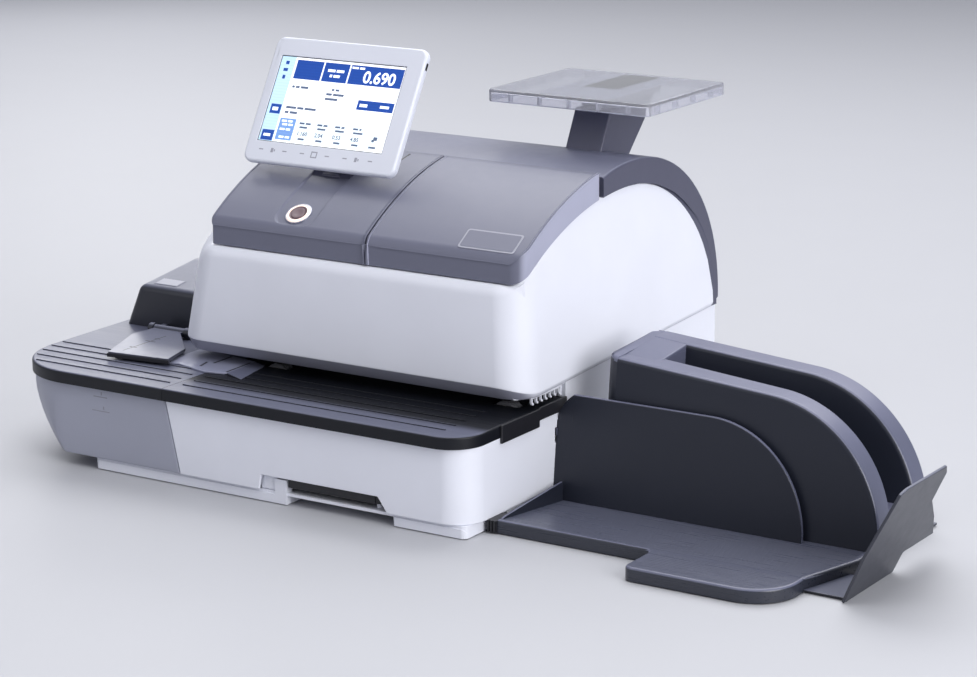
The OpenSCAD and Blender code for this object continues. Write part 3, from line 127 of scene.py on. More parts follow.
def new_material(name: str, settings: dict[str, object]) -> tuple[
        bpy.types.Material, bpy.types.NodeTree, bpy.types.Node, bpy.types.NodeSocket]:
    """Makes a plain node material.

    Args:
        name: the finish's plain name.
        settings: values for its shader's inputs.

    Returns:
        The material, its node tree, its Principled shader and the socket of Object coordinates.
    """
    material = bpy.data.materials.new(name)
    material.use_nodes = True
    tree = material.node_tree
    tree.nodes.clear()
    shader = add(tree, "ShaderNodeBsdfPrincipled", settings)
    add(tree, "ShaderNodeOutputMaterial", {}, {"Surface": shader.outputs[0]})
    return material, tree, shader, add(tree, "ShaderNodeTexCoord", {}).outputs["Object"]


def mottle_colour(tree: bpy.types.NodeTree, shader: bpy.types.Node, colour: str, spread: float,
                  cloud: bpy.types.Node) -> None:
    """Feeds the shader a colour that drifts with a noise texture.

    Args:
        tree: the material's node tree.
        shader: its Principled shader.
        colour: the mean colour as hex.
        spread: share by which it drifts each way.
        cloud: the noise texture that it follows.
    """
    mix = add(tree, "ShaderNodeMix", {"data_type": "RGBA"}, {0: cloud.outputs[0]})
    mix.inputs[6].default_value = shade(colour, 1.0 - spread)
    mix.inputs[7].default_value = shade(colour, 1.0 + spread)
    tree.links.new(mix.outputs[2], shader.inputs["Base Color"])


def paint_facing_light(tree: bpy.types.NodeTree, shader: bpy.types.Node, colour: str, cloud: bpy.types.Node,
             axis: str = "Z", reach: Pair | None = None) -> None:
    """Paints light onto the faces that look one way: a pale painted sheen on those that look up, and
    painted light on those that look right.

    Args:
        tree: the material's node tree.
        shader: its Principled shader, whose colour is already linked.
        colour: the colour of the painted light, as hex.
        cloud: the noise texture that the painted light follows.
        axis: the way that the lightened faces look.
        reach: depths between which the painted light fades out, leaving painted shade beyond, in the
            outlines' millimetres.
    """
    place = add(tree, "ShaderNodeTexCoord", {})
    facing = add(tree, "ShaderNodeSeparateXYZ", {}, {"Vector": place.outputs["Normal"]})
    share = add(tree, "ShaderNodeMapRange", {"From Min": 0.55, "From Max": 0.97,
                                             "interpolation_type": "SMOOTHSTEP"},
                {"Value": facing.outputs[axis]})
    if reach:
        near, far = ((TO_ROW @ Vector((0.0, y, 0.0))).y for y in reach)
        depth = add(tree, "ShaderNodeSeparateXYZ", {}, {"Vector": place.outputs["Object"]})
        fade = add(tree, "ShaderNodeMapRange", {"From Min": near, "From Max": far, "To Min": 1.0,
                                                "To Max": 0.0, "interpolation_type": "SMOOTHSTEP"},
                   {"Value": depth.outputs["Y"]})
        share = add(tree, "ShaderNodeMath", {"operation": "MULTIPLY"},
                    {0: share.outputs[0], 1: fade.outputs[0]})
    under = shader.inputs["Base Color"].links[0].from_socket
    painted_light = add(tree, "ShaderNodeMix", {"data_type": "RGBA"}, {0: cloud.outputs[0]})
    painted_light.inputs[6].default_value = shade(colour, 0.92)
    painted_light.inputs[7].default_value = shade(colour, 1.08)
    mix = add(tree, "ShaderNodeMix", {"data_type": "RGBA"},
              {0: share.outputs[0], 6: under, 7: painted_light.outputs[2]})
    tree.links.new(mix.outputs[2], shader.inputs["Base Color"])


@dataclass(frozen=True)
class MouldedPlastic:
    """Injection-moulded plastic: a spark-eroded skin scatters the highlight into a soft sheen."""

    name: str
    colour: str
    roughness: float = 0.42
    grain: float = 1.1
    depth: float = 0.012
    spread: float = 0.035
    ior: float = 1.53
    # Paler colour painted on the faces that look one way, as painted light
    painted_light: str = ""
    light_axis: str = "Z"

    def make(self) -> bpy.types.Material:
        """Builds the material: slow tint drift, painted light on the faces that look one way, a patchy
        sheen and a fine skin grain.

        The real skin's grain is about 0.2 mm, so it is drawn coarser here to show in the render.
        """
        material, tree, shader, place = new_material(self.name, {"IOR": self.ior})
        cloud = add(tree, "ShaderNodeTexNoise", {"Scale": per_mm(55.0), "Detail": 2.0},
                    {"Vector": place})
        mottle_colour(tree, shader, self.colour, self.spread, cloud)
        if self.painted_light:
            paint_facing_light(tree, shader, self.painted_light, cloud, self.light_axis)
        patch = add(tree, "ShaderNodeTexNoise", {"Scale": per_mm(9.0), "Detail": 3.0},
                    {"Vector": place})
        sheen = add(tree, "ShaderNodeMapRange",
                    {"To Min": self.roughness - 0.05, "To Max": self.roughness + 0.05},
                    {"Value": patch.outputs[0]})
        tree.links.new(sheen.outputs[0], shader.inputs["Roughness"])
        skin = add(tree, "ShaderNodeTexNoise", {"Scale": per_mm(self.grain), "Detail": 1.0},
                   {"Vector": place})
        bump = add(tree, "ShaderNodeBump", {"Strength": 0.5, "Distance": self.depth * MM},
                   {"Height": skin.outputs[0]})
        tree.links.new(bump.outputs[0], shader.inputs["Normal"])
        return material


@dataclass(frozen=True)
class SlidePlastic:
    """Dark slide plastic of the mail path: long faint rub marks along the way the mail goes."""

    name: str
    colour: str
    roughness: float = 0.36
    # Paler colour painted on upward faces, as a painted sheen
    painted_light: str = ""
    # Depths between which that painted sheen fades out, leaving painted shade beyond
    reach: Pair | None = None
    ior: float = 1.53

    def make(self) -> bpy.types.Material:
        """Builds the material with streaks stretched along x."""
        material, tree, shader, place = new_material(self.name, {"IOR": self.ior})
        along = add(tree, "ShaderNodeMapping", {"Scale": (0.04, 1.0, 1.0)},
                    {"Vector": place})
        streak = add(tree, "ShaderNodeTexNoise", {"Scale": per_mm(2.2), "Detail": 3.0},
                     {"Vector": along.outputs[0]})
        mottle_colour(tree, shader, self.colour, 0.12, streak)
        if self.painted_light:
            paint_facing_light(tree, shader, self.painted_light, streak, "Z", self.reach)
        sheen = add(tree, "ShaderNodeMapRange",
                    {"To Min": self.roughness - 0.1, "To Max": self.roughness + 0.1},
                    {"Value": streak.outputs[0]})
        tree.links.new(sheen.outputs[0], shader.inputs["Roughness"])
        skin = add(tree, "ShaderNodeTexNoise", {"Scale": per_mm(0.9), "Detail": 1.0},
                   {"Vector": place})
        bump = add(tree, "ShaderNodeBump", {"Strength": 0.4, "Distance": 0.01 * MM},
                   {"Height": skin.outputs[0]})
        tree.links.new(bump.outputs[0], shader.inputs["Normal"])
        return material


@dataclass(frozen=True)
class ClearPlastic:
    """Cast or moulded clear plastic: light passes through, and a faint haze dulls its gloss."""

    name: str
    colour: str
    transmission: float
    roughness: float
    ior: float = 1.49

    def make(self) -> bpy.types.Material:
        """Builds the material with a haze that drifts over the surface."""
        material, tree, shader, place = new_material(
            self.name, {"IOR": self.ior, "Transmission Weight": self.transmission})
        cloud = add(tree, "ShaderNodeTexNoise", {"Scale": per_mm(38.0), "Detail": 2.0},
                    {"Vector": place})
        mottle_colour(tree, shader, self.colour, 0.03, cloud)
        haze = add(tree, "ShaderNodeMapRange",
                   {"To Min": self.roughness * 0.8, "To Max": self.roughness * 1.2},
                   {"Value": cloud.outputs[0]})
        tree.links.new(haze.outputs[0], shader.inputs["Roughness"])
        return material


@dataclass(frozen=True)
class Metal:
    """Bare or plated metal: fine rolling or turning lines break up its reflection."""

    name: str
    colour: str
    roughness: float
    line: float = 0.8
    stretch: Point = (0.05, 1.0, 1.0)

    def make(self) -> bpy.types.Material:
        """Builds the material with lines along its stretched axis."""
        material, tree, shader, place = new_material(self.name, {"Metallic": 1.0})
        along = add(tree, "ShaderNodeMapping", {"Scale": self.stretch},
                    {"Vector": place})
        lines = add(tree, "ShaderNodeTexNoise", {"Scale": per_mm(self.line), "Detail": 2.0},
                    {"Vector": along.outputs[0]})
        mottle_colour(tree, shader, self.colour, 0.08, lines)
        sheen = add(tree, "ShaderNodeMapRange",
                    {"To Min": self.roughness - 0.08, "To Max": self.roughness + 0.1},
                    {"Value": lines.outputs[0]})
        tree.links.new(sheen.outputs[0], shader.inputs["Roughness"])
        return material


@dataclass(frozen=True)
class SoftRubber:
    """Moulded rubber: matt, with a dusty bloom and a fine ground skin."""

    name: str
    colour: str
    grain: float = 0.7

    def make(self) -> bpy.types.Material:
        """Builds the material with a bloom that comes and goes."""
        material, tree, shader, place = new_material(self.name, {"IOR": 1.52, "Roughness": 0.72})
        bloom = add(tree, "ShaderNodeTexNoise", {"Scale": per_mm(5.0), "Detail": 4.0},
                    {"Vector": place})
        mottle_colour(tree, shader, self.colour, 0.2, bloom)
        skin = add(tree, "ShaderNodeTexNoise", {"Scale": per_mm(self.grain), "Detail": 2.0},
                   {"Vector": place})
        bump = add(tree, "ShaderNodeBump", {"Strength": 0.6, "Distance": 0.03 * MM},
                   {"Height": skin.outputs[0]})
        tree.links.new(bump.outputs[0], shader.inputs["Normal"])
        return material


@dataclass(frozen=True)
class Glow:
    """Lit plastic or a lit screen: its own light shows more than what falls on it."""

    name: str
    colour: str
    strength: float
    roughness: float = 0.3
    pitch: float = 1.2

    def make(self) -> bpy.types.Material:
        """Builds the material with a faint row pattern, drawn coarser than real pixels to show."""
        material, tree, shader, place = new_material(
            self.name, {"Roughness": self.roughness, "Emission Strength": self.strength})
        rows = add(tree, "ShaderNodeTexWave", {"Scale": per_mm(self.pitch) / math.tau,
                                               "bands_direction": "Z", "Distortion": 0.0},
                   {"Vector": place})
        mottle_colour(tree, shader, self.colour, 0.03, rows)
        lit = shader.inputs["Base Color"].links[0].from_socket
        tree.links.new(lit, shader.inputs["Emission Color"])
        return material


@dataclass(frozen=True)
class Felt:
    """Pressed wool felt: matted fibres give a soft, uneven and matt face."""

    name: str
    colour: str

    def make(self) -> bpy.types.Material:
        """Builds the material with fibres about a millimetre long."""
        material, tree, shader, place = new_material(
            self.name, {"Roughness": 0.95, "Sheen Weight": 0.4})
        fibre = add(tree, "ShaderNodeTexNoise",
                    {"Scale": per_mm(1.0), "Detail": 5.0, "Distortion": 1.5},
                    {"Vector": place})
        mottle_colour(tree, shader, self.colour, 0.15, fibre)
        bump = add(tree, "ShaderNodeBump", {"Strength": 0.8, "Distance": 0.2 * MM},
                   {"Height": fibre.outputs[0]})
        tree.links.new(bump.outputs[0], shader.inputs["Normal"])
        return material


@dataclass(frozen=True)
class SolderMask:
    """Printed board: glossy green lacquer over copper tracks that show as lighter lines."""

    name: str
    colour: str

    def make(self) -> bpy.types.Material:
        """Builds the material with square track runs."""
        material, tree, shader, place = new_material(self.name, {"Roughness": 0.25})
        tracks = add(tree, "ShaderNodeTexBrick",
                     {"Scale": per_mm(10.0), "Mortar Size": 0.06, "Color1": shade(self.colour, 0.9),
                      "Color2": shade(self.colour, 1.1), "Mortar": shade(self.colour, 1.7)},
                     {"Vector": place})
        tree.links.new(tracks.outputs[0], shader.inputs["Base Color"])
        bump = add(tree, "ShaderNodeBump", {"Strength": 0.5, "Distance": 0.03 * MM},
                   {"Height": tracks.outputs[1]})
        tree.links.new(bump.outputs[0], shader.inputs["Normal"])
        return material


class Finish(Enum):
    """The finishes of the machine, each with what it gives the eye."""

    # Bright, slightly cool white with a broad soft highlight
    WHITE_ABS = MouldedPlastic("white_abs", "#E2E4EE", roughness=0.4)
    # Plain mid-grey of frames, plates and marks, which on the badge frame is a painted highlight along
    # its bevel
    LIP_GREY = MouldedPlastic("lip_grey_abs", "#9A9BA8", roughness=0.45)
    # Even satin grey of the left cover
    COVER_GREY = MouldedPlastic("cover_grey_abs", "#686A7C", roughness=0.42)
    # The same grey on the lid, with painted light where it faces right
    LID_GREY_LIT_RIGHT = MouldedPlastic("lid_grey_painted_light", "#686A7C", painted_light="#A6A8BD", light_axis="X")
    # Grey of painted shade on the hem, with painted light that turns it nearly white where it faces
    # right
    HEM_PAINTED_SHADE = MouldedPlastic("hem_painted_shade_and_light", "#8F909F", painted_light="#DDDFEA", light_axis="X")
    # Deeper grey of the rear arch and column, made paler on top by painted light
    ARCH_GREY = MouldedPlastic("arch_grey_abs", "#4B4C5F", roughness=0.4, painted_light="#696B7E")
    # Nearly black tray walls with a pale painted sheen on their tops
    CHARCOAL = MouldedPlastic("charcoal_abs", "#20232E", roughness=0.38, ior=1.42, painted_light="#5E6075")
    # Paler grey band along the tray walls' edges and tops, shinier than their faces: a painted sheen and
    # highlight
    BAND_PAINTED_SHEEN = MouldedPlastic("tray_band_painted_sheen", "#55586C", roughness=0.36, painted_light="#686A80")
    # Dark hood of the moistener, with a pale painted sheen on top
    SEALER_DARK = MouldedPlastic("sealer_dark_abs", "#262832", roughness=0.36, painted_light="#5B5E71")
    # Dark grey of the end stop, a shade paler than the walls, with painted light on its top
    STOP_GREY = MouldedPlastic("end_stop_abs", "#33353F", roughness=0.36, painted_light="#5A5D6E")
    # Dark grey of the flap guide, made pale on its tops by a painted sheen
    GUIDE_GREY = MouldedPlastic("guide_grey_abs", "#3C3E4A", roughness=0.36, painted_light="#5E6174")
    # Dull black of trims, slits and gaps
    BLACK_ABS = MouldedPlastic("black_abs", "#16161C", roughness=0.45)
    # Pale, fine-grained case of the display
    SILVER_PAINT = MouldedPlastic("silver_grey_abs", "#DADDE8", roughness=0.36, grain=0.8)
    # Warm grey of the start button
    ROSE_GREY = MouldedPlastic("rose_grey_abs", "#6E5A60", roughness=0.35)
    # Waxy ivory of gears and hubs
    IVORY_POM = MouldedPlastic("ivory_acetal", "#E6E0CC", roughness=0.35)
    # Deep blue of the ink cartridge
    INK_BLUE = MouldedPlastic("ink_blue_abs", "#27304F", roughness=0.4)
    # Black deck edge under a top lightened by a streaky painted sheen
    DECK_DARK = SlidePlastic("deck_slide_plastic", "#101219", 0.42, "#5A5D70", None, 1.4)
    # The same deck, whose painted sheen fades out towards the throat under the housing, painting the
    # throat's shade
    THROAT_DARK = SlidePlastic("throat_slide_plastic", "#101219", 0.42, "#5A5D70", (20.0, 37.0), 1.36)
    # Shiny dark floor of the tray, with long streaks and a painted sheen on its upward faces
    TRAY_DARK = SlidePlastic("tray_slide_plastic", "#2C2F3A", 0.3, "#545768")
    # Pale entry ramp, streaked the way that mail goes
    RAMP_GREY = SlidePlastic("ramp_slide_plastic", "#8A8DA2", 0.34)
    # Clear platform with a faint grey haze
    ACRYLIC = ClearPlastic("clear_acrylic", "#C8CAD5", 0.9, 0.06)
    # Its edges and ribs in a milkier, paler copy of the acrylic: painted light where they gather light
    ACRYLIC_EDGE = ClearPlastic("acrylic_edge", "#E9EAF3", 0.78, 0.08)
    # Milky grey water tank that hides what is in it
    SMOKED = ClearPlastic("milky_polycarbonate", "#B3B6C7", 0.3, 0.4, 1.58)
    # Dull sheet metal with rolling lines
    ZINC = Metal("zinc_plated_sheet", "#BFC2C6", 0.4)
    # Bright shafts with grinding lines round them
    STEEL = Metal("ground_steel", "#C9CBD0", 0.26, 0.6, (1.0, 0.05, 1.0))
    # Pale milled block with cutter lines
    ALLOY = Metal("machined_alloy", "#D0D2D6", 0.34)
    # Warm brown bushes
    BRONZE = Metal("sintered_bronze", "#B98A4E", 0.42)
    # Soft bright trim
    NICKEL = Metal("satin_nickel", "#C8CAD4", 0.28)
    # Matt black tyres, belt and feet
    RUBBER = SoftRubber("black_rubber", "#1B1B1E")
    # Matt grey tyres and wiper
    GREY_RUBBER = SoftRubber("grey_rubber", "#5A5B60")
    # Warm glow round the start button
    RING_LIGHT = Glow("lit_light_guide", "#FFE6DA", 0.42)
    # Lit screen: a white ground with flat, even tiles and lines
    LCD_WHITE = Glow("lcd_white", "#F4F8FF", 0.62, 0.22)
    LCD_LINE = Glow("lcd_line", "#E8F0FF", 0.7, 0.22)
    LCD_BLUE = Glow("lcd_blue", "#174396", 0.5, 0.22)
    LCD_MID = Glow("lcd_mid_blue", "#6F93CC", 0.55, 0.22)
    LCD_PALE = Glow("lcd_pale_blue", "#B7D4E8", 0.55, 0.22)
    LCD_TILE = Glow("lcd_tile", "#E2EEF4", 0.6, 0.22)
    LCD_INK = Glow("lcd_ink", "#5D6B86", 0.3, 0.22)
    # Soft, dull and fibrous pad
    FELT = Felt("moistener_felt", "#CFC6AE")
    # Glossy green with lighter tracks
    BOARD = SolderMask("solder_mask", "#1F5A3A")


class Finishes:
    """Makes each finish's material once, when it is first asked for."""

    _made: dict[Finish, bpy.types.Material] = {}

    @classmethod
    def get(cls, finish: Finish) -> bpy.types.Material:
        """Gives a finish's material."""
        if finish not in cls._made:
            cls._made[finish] = finish.value.make()
        return cls._made[finish]


class Form:
    """A mesh being shaped, in the outlines' millimetres."""

    def __init__(self) -> None:
        """Starts an empty mesh."""
        self.bm = bmesh.new()

    @classmethod
    def of_node(cls, node: str) -> "Form":
        """Starts from a merged copy of a CAD node's mesh, with flat faces joined."""
        form = cls()
        form.bm.from_mesh(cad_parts[node].data)
        bmesh.ops.transform(form.bm, matrix=TO_OUTLINE, verts=form.bm.verts)
        bmesh.ops.remove_doubles(form.bm, verts=form.bm.verts, dist=0.003)
        bmesh.ops.dissolve_limit(form.bm, angle_limit=math.radians(0.25), verts=form.bm.verts,
                                 edges=form.bm.edges)
        return form

    def join(self, other: "Form") -> "Form":
        """Takes in another form's mesh."""
        mesh = bpy.data.meshes.new("part")
        other.bm.to_mesh(mesh)
        other.bm.free()
        self.bm.from_mesh(mesh)
        bpy.data.meshes.remove(mesh)
        return self

    def cut(self, place: Point, normal: Point) -> "Form":
        """Takes away what lies on the normal's side of a plane, and closes the cut."""
        made = bmesh.ops.bisect_plane(
            self.bm, geom=self.bm.verts[:] + self.bm.edges[:] + self.bm.faces[:], dist=0.001,
            plane_co=place, plane_no=normal, clear_outer=True)
        rim = [g for g in made["geom_cut"] if isinstance(g, bmesh.types.BMEdge)]
        bmesh.ops.holes_fill(self.bm, edges=rim, sides=0)
        return self

    def box(self, low: Point, high: Point, matrix: Matrix | None = None) -> "Form":
        """Adds a box between two corners, placed by a matrix where one is given."""
        size = Vector(high) - Vector(low)
        middle = (Vector(high) + Vector(low)) / 2
        placed = Matrix.Translation(middle) @ Matrix.Diagonal((*size, 1.0))
        bmesh.ops.create_cube(self.bm, size=1.0, matrix=(matrix or Matrix()) @ placed)
        return self

    def lathe(self, profile: Sequence[Pair], matrix: Matrix, steps: int = 48) -> "Form":
        """Adds a turned shape.

        Args:
            profile: radius and height pairs from one end of the outline to the other.
            matrix: places the turning axis, which is the shape's own z.
            steps: number of sides.

        Returns:
            This form.
        """
        verts = [self.bm.verts.new((r, 0.0, z)) for r, z in profile]
        edges = [self.bm.edges.new(pair) for pair in zip(verts, verts[1:])]
        made = bmesh.ops.spin(self.bm, geom=verts + edges, cent=(0, 0, 0), axis=(0, 0, 1),
                              angle=math.tau, steps=steps, use_merge=True)
        turned = {v for e in edges for v in e.verts} | set(verts)
        turned |= {g for g in made["geom_last"] if isinstance(g, bmesh.types.BMVert)}
        faces: set[bmesh.types.BMFace] = set()
        todo = list(turned)
        while todo:
            vert = todo.pop()
            for edge in vert.link_edges:
                other = edge.other_vert(vert)
                if other not in turned:
                    turned.add(other)
                    todo.append(other)
            faces.update(vert.link_faces)
        bmesh.ops.recalc_face_normals(self.bm, faces=list(faces))
        bmesh.ops.transform(self.bm, matrix=matrix, verts=list(turned))
        bmesh.ops.remove_doubles(self.bm, verts=list(turned), dist=0.001)
        return self

    def prism(self, outline: Sequence[Pair], depth: float, matrix: Matrix) -> "Form":
        """Adds a flat outline drawn up by a depth along its own z, then placed."""
        verts = [self.bm.verts.new((x, y, 0.0)) for x, y in outline]
        face = self.bm.faces.new(verts)
        made = bmesh.ops.extrude_face_region(self.bm, geom=[face])
        top = [g for g in made["geom"] if isinstance(g, bmesh.types.BMVert)]
        bmesh.ops.translate(self.bm, vec=(0, 0, depth), verts=top)
        both = list({*verts, *top})
        bmesh.ops.transform(self.bm, matrix=matrix, verts=both)
        bmesh.ops.recalc_face_normals(self.bm, faces=list({f for v in both for f in v.link_faces}))
        return self

    def sheet(self, rows: Sequence[Sequence[Point]]) -> list[list[bmesh.types.BMVert]]:
        """Adds a grid and lays its points on rows of places.

        Args:
            rows: the places, as many in each row.

        Returns:
            The grid's points, row by row.
        """
        across = len(rows[0])
        made = bmesh.ops.create_grid(self.bm, x_segments=across - 1, y_segments=len(rows) - 1, size=1.0)
        verts = sorted(made["verts"], key=lambda v: (v.co.y, v.co.x))
        grid = [verts[k:k + across] for k in range(0, len(verts), across)]
        for line, places in zip(grid, rows):
            for vert, place in zip(line, places):
                vert.co = place
        return grid

    def face_out(self, way: Vector) -> "Form":
        """Turns an open skin's faces outwards, judged by the one that lies farthest along a way."""
        bmesh.ops.recalc_face_normals(self.bm, faces=self.bm.faces)
        last = max(self.bm.faces, key=lambda f: f.calc_center_median().dot(way))
        if last.normal.dot(way) < 0:
            bmesh.ops.reverse_faces(self.bm, faces=self.bm.faces)
        return self

    def hull(self, points: Sequence[Point]) -> "Form":
        """Adds the smallest convex solid round some points."""
        verts = [self.bm.verts.new(p) for p in points]
        bmesh.ops.convex_hull(self.bm, input=verts)
        return self

    def words(self, text: str, height: float, matrix: Matrix, depth: float = 0.04) -> "Form":
        """Adds plain figures as a thin mesh, standing on the matrix's x axis from its origin."""
        curve = bpy.data.curves.new("figures", "FONT")
        curve.body = text
        curve.size = height
        curve.extrude = depth
        curve.offset = 0.022 * height
        holder = bpy.data.objects.new("figures", curve)
        mesh = bpy.data.meshes.new_from_object(holder)
        mesh.transform(matrix)
        self.bm.from_mesh(mesh)
        bpy.data.objects.remove(holder)
        bpy.data.curves.remove(curve)
        bpy.data.meshes.remove(mesh)
        return self

    def bevel(self, radius: float, segments: int = 3, where: EdgeTest | None = None,
              angle: float = 30.0, convex: bool = False) -> "Form":
        """Rounds the edges that are sharper than an angle.

        Args:
            radius: the rounding's size in millimetres.
            segments: number of faces across it.
            where: limits it to edges whose middle passes this test.
            angle: the least angle between an edge's faces, in degrees.
            convex: leaves inner corners sharp.

        Returns:
            This form.
        """
        sharp = [e for e in self.bm.edges
                 if len(e.link_faces) == 2 and e.calc_face_angle(0.0) > math.radians(angle)
                 and (e.is_convex or not convex)
                 and (where is None or where((e.verts[0].co + e.verts[1].co) / 2))]
        bmesh.ops.bevel(self.bm, geom=sharp, offset=radius, offset_type="OFFSET", segments=segments,
                        profile=0.5, affect="EDGES", material=-1, loop_slide=True)
        return self

    def tint(self, index: int, where: Callable[[bmesh.types.BMFace], bool]) -> "Form":
        """Gives the faces that pass a test another of the piece's finishes."""
        for face in self.bm.faces:
            if where(face):
                face.material_index = index
        return self

    def piece(self, name: str, body: str, *finishes: Finish, replaces: Iterable[str] = (),
              flat: bool = False, wall: float = 0.0) -> bpy.types.Object:
        """Ends the shaping: makes the object, finishes it and sets it on its body.

        Args:
            name: the piece's name.
            body: the body that it rides on.
            finishes: its finishes, in the order of the faces' indices.
            replaces: CAD nodes that it stands for.
            flat: leaves the faces flat.
            wall: thickens an open surface inwards by this many millimetres.

        Returns:
            The new object.
        """
        bmesh.ops.transform(self.bm, matrix=TO_ROW, verts=self.bm.verts)
        for face in self.bm.faces:
            face.smooth = not flat
        for edge in self.bm.edges:
            if len(edge.link_faces) == 2:
                edge.smooth = edge.calc_face_angle(0.0) < SMOOTH_ANGLE
        mesh = bpy.data.meshes.new(name)
        self.bm.to_mesh(mesh)
        self.bm.free()
        thing = bpy.data.objects.new(name, mesh)
        bpy.context.scene.collection.objects.link(thing)
        for finish in finishes:
            mesh.materials.append(Finishes.get(finish))
        if wall:
            thicken = thing.modifiers.new("wall", "SOLIDIFY")
            thicken.thickness = wall * MM
            thicken.offset = -1.0
        if not flat:
            thing.modifiers.new("even_normals", "WEIGHTED_NORMAL").keep_sharp = True
        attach(thing, body)
        nodes = list(replaces)
        if nodes:
            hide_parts(*nodes)
        log.info("%s rides on %s (%d faces)", name, body, len(mesh.polygons))
        return thing


def dress(node: str, finish: Finish) -> None:
    """Gives a CAD node that keeps its shape a finish."""
    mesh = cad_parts[node].data
    mesh.materials.clear()
    mesh.materials.append(Finishes.get(finish))
    log.info("%s keeps its shape, in %s", node, finish.name)


def soften(node: str, name: str, body: str, finish: Finish, radius: float, segments: int = 2,
           where: EdgeTest | None = None) -> None:
    """Makes a piece from a CAD node with its sharp edges rounded.

    Args:
        node: the CAD node that the piece stands for.
        name: the piece's name.
        body: the body that it rides on.
        finish: its finish.
        radius: the rounding's size in millimetres.
        segments: number of faces across it.
        where: limits it to edges whose middle passes this test.
    """
    Form.of_node(node).bevel(radius, segments, where).piece(name, body, finish, replaces=[node])


def turn(axis: str, degrees: float) -> Matrix:
    """Gives a turn about an axis, in degrees."""
    return Matrix.Rotation(math.radians(degrees), 4, axis)


def shift(x: float, y: float, z: float) -> Matrix:
    """Gives a move in millimetres."""
    return Matrix.Translation((x, y, z))


def upright(x: float) -> Matrix:
    """Gives a frame that stands an outline of depths and heights up at x, with its thickness along x."""
    return Matrix(((0, 0, 1, x), (1, 0, 0, 0), (0, 1, 0, 0), (0, 0, 0, 1)))


@dataclass
class DeckPlate:
    """Sizes and ribs that the main deck and the moistener's deck share."""

    base_z: float = 74.5
    deck_z: float = 85.0
    lip: float = 5.0
    edge: float = 2.2
    rib_first: float = 14.0
    rib_pitch: float = 15.2
    rib_wide: float = 1.5
    rib_tall: float = 0.8
    rib_sunk: float = 0.2
    rib_round: float = 0.35

    def ribs(self, lefts: Iterable[float], right: float) -> Form:
        """Makes the low ribs that mail slides on.

        Args:
            lefts: each rib's left end, from the front row to the rear one.
            right: the ribs' right end.

        Returns:
            The ribs, to be joined to a deck.
        """
        form = Form()
        for row, left in enumerate(lefts):
            y = self.rib_first + self.rib_pitch * row
            form.box((left, y, self.deck_z - self.rib_sunk),
                     (right, y + self.rib_wide, self.deck_z + self.rib_tall))
        return form.bevel(self.rib_round, 2)


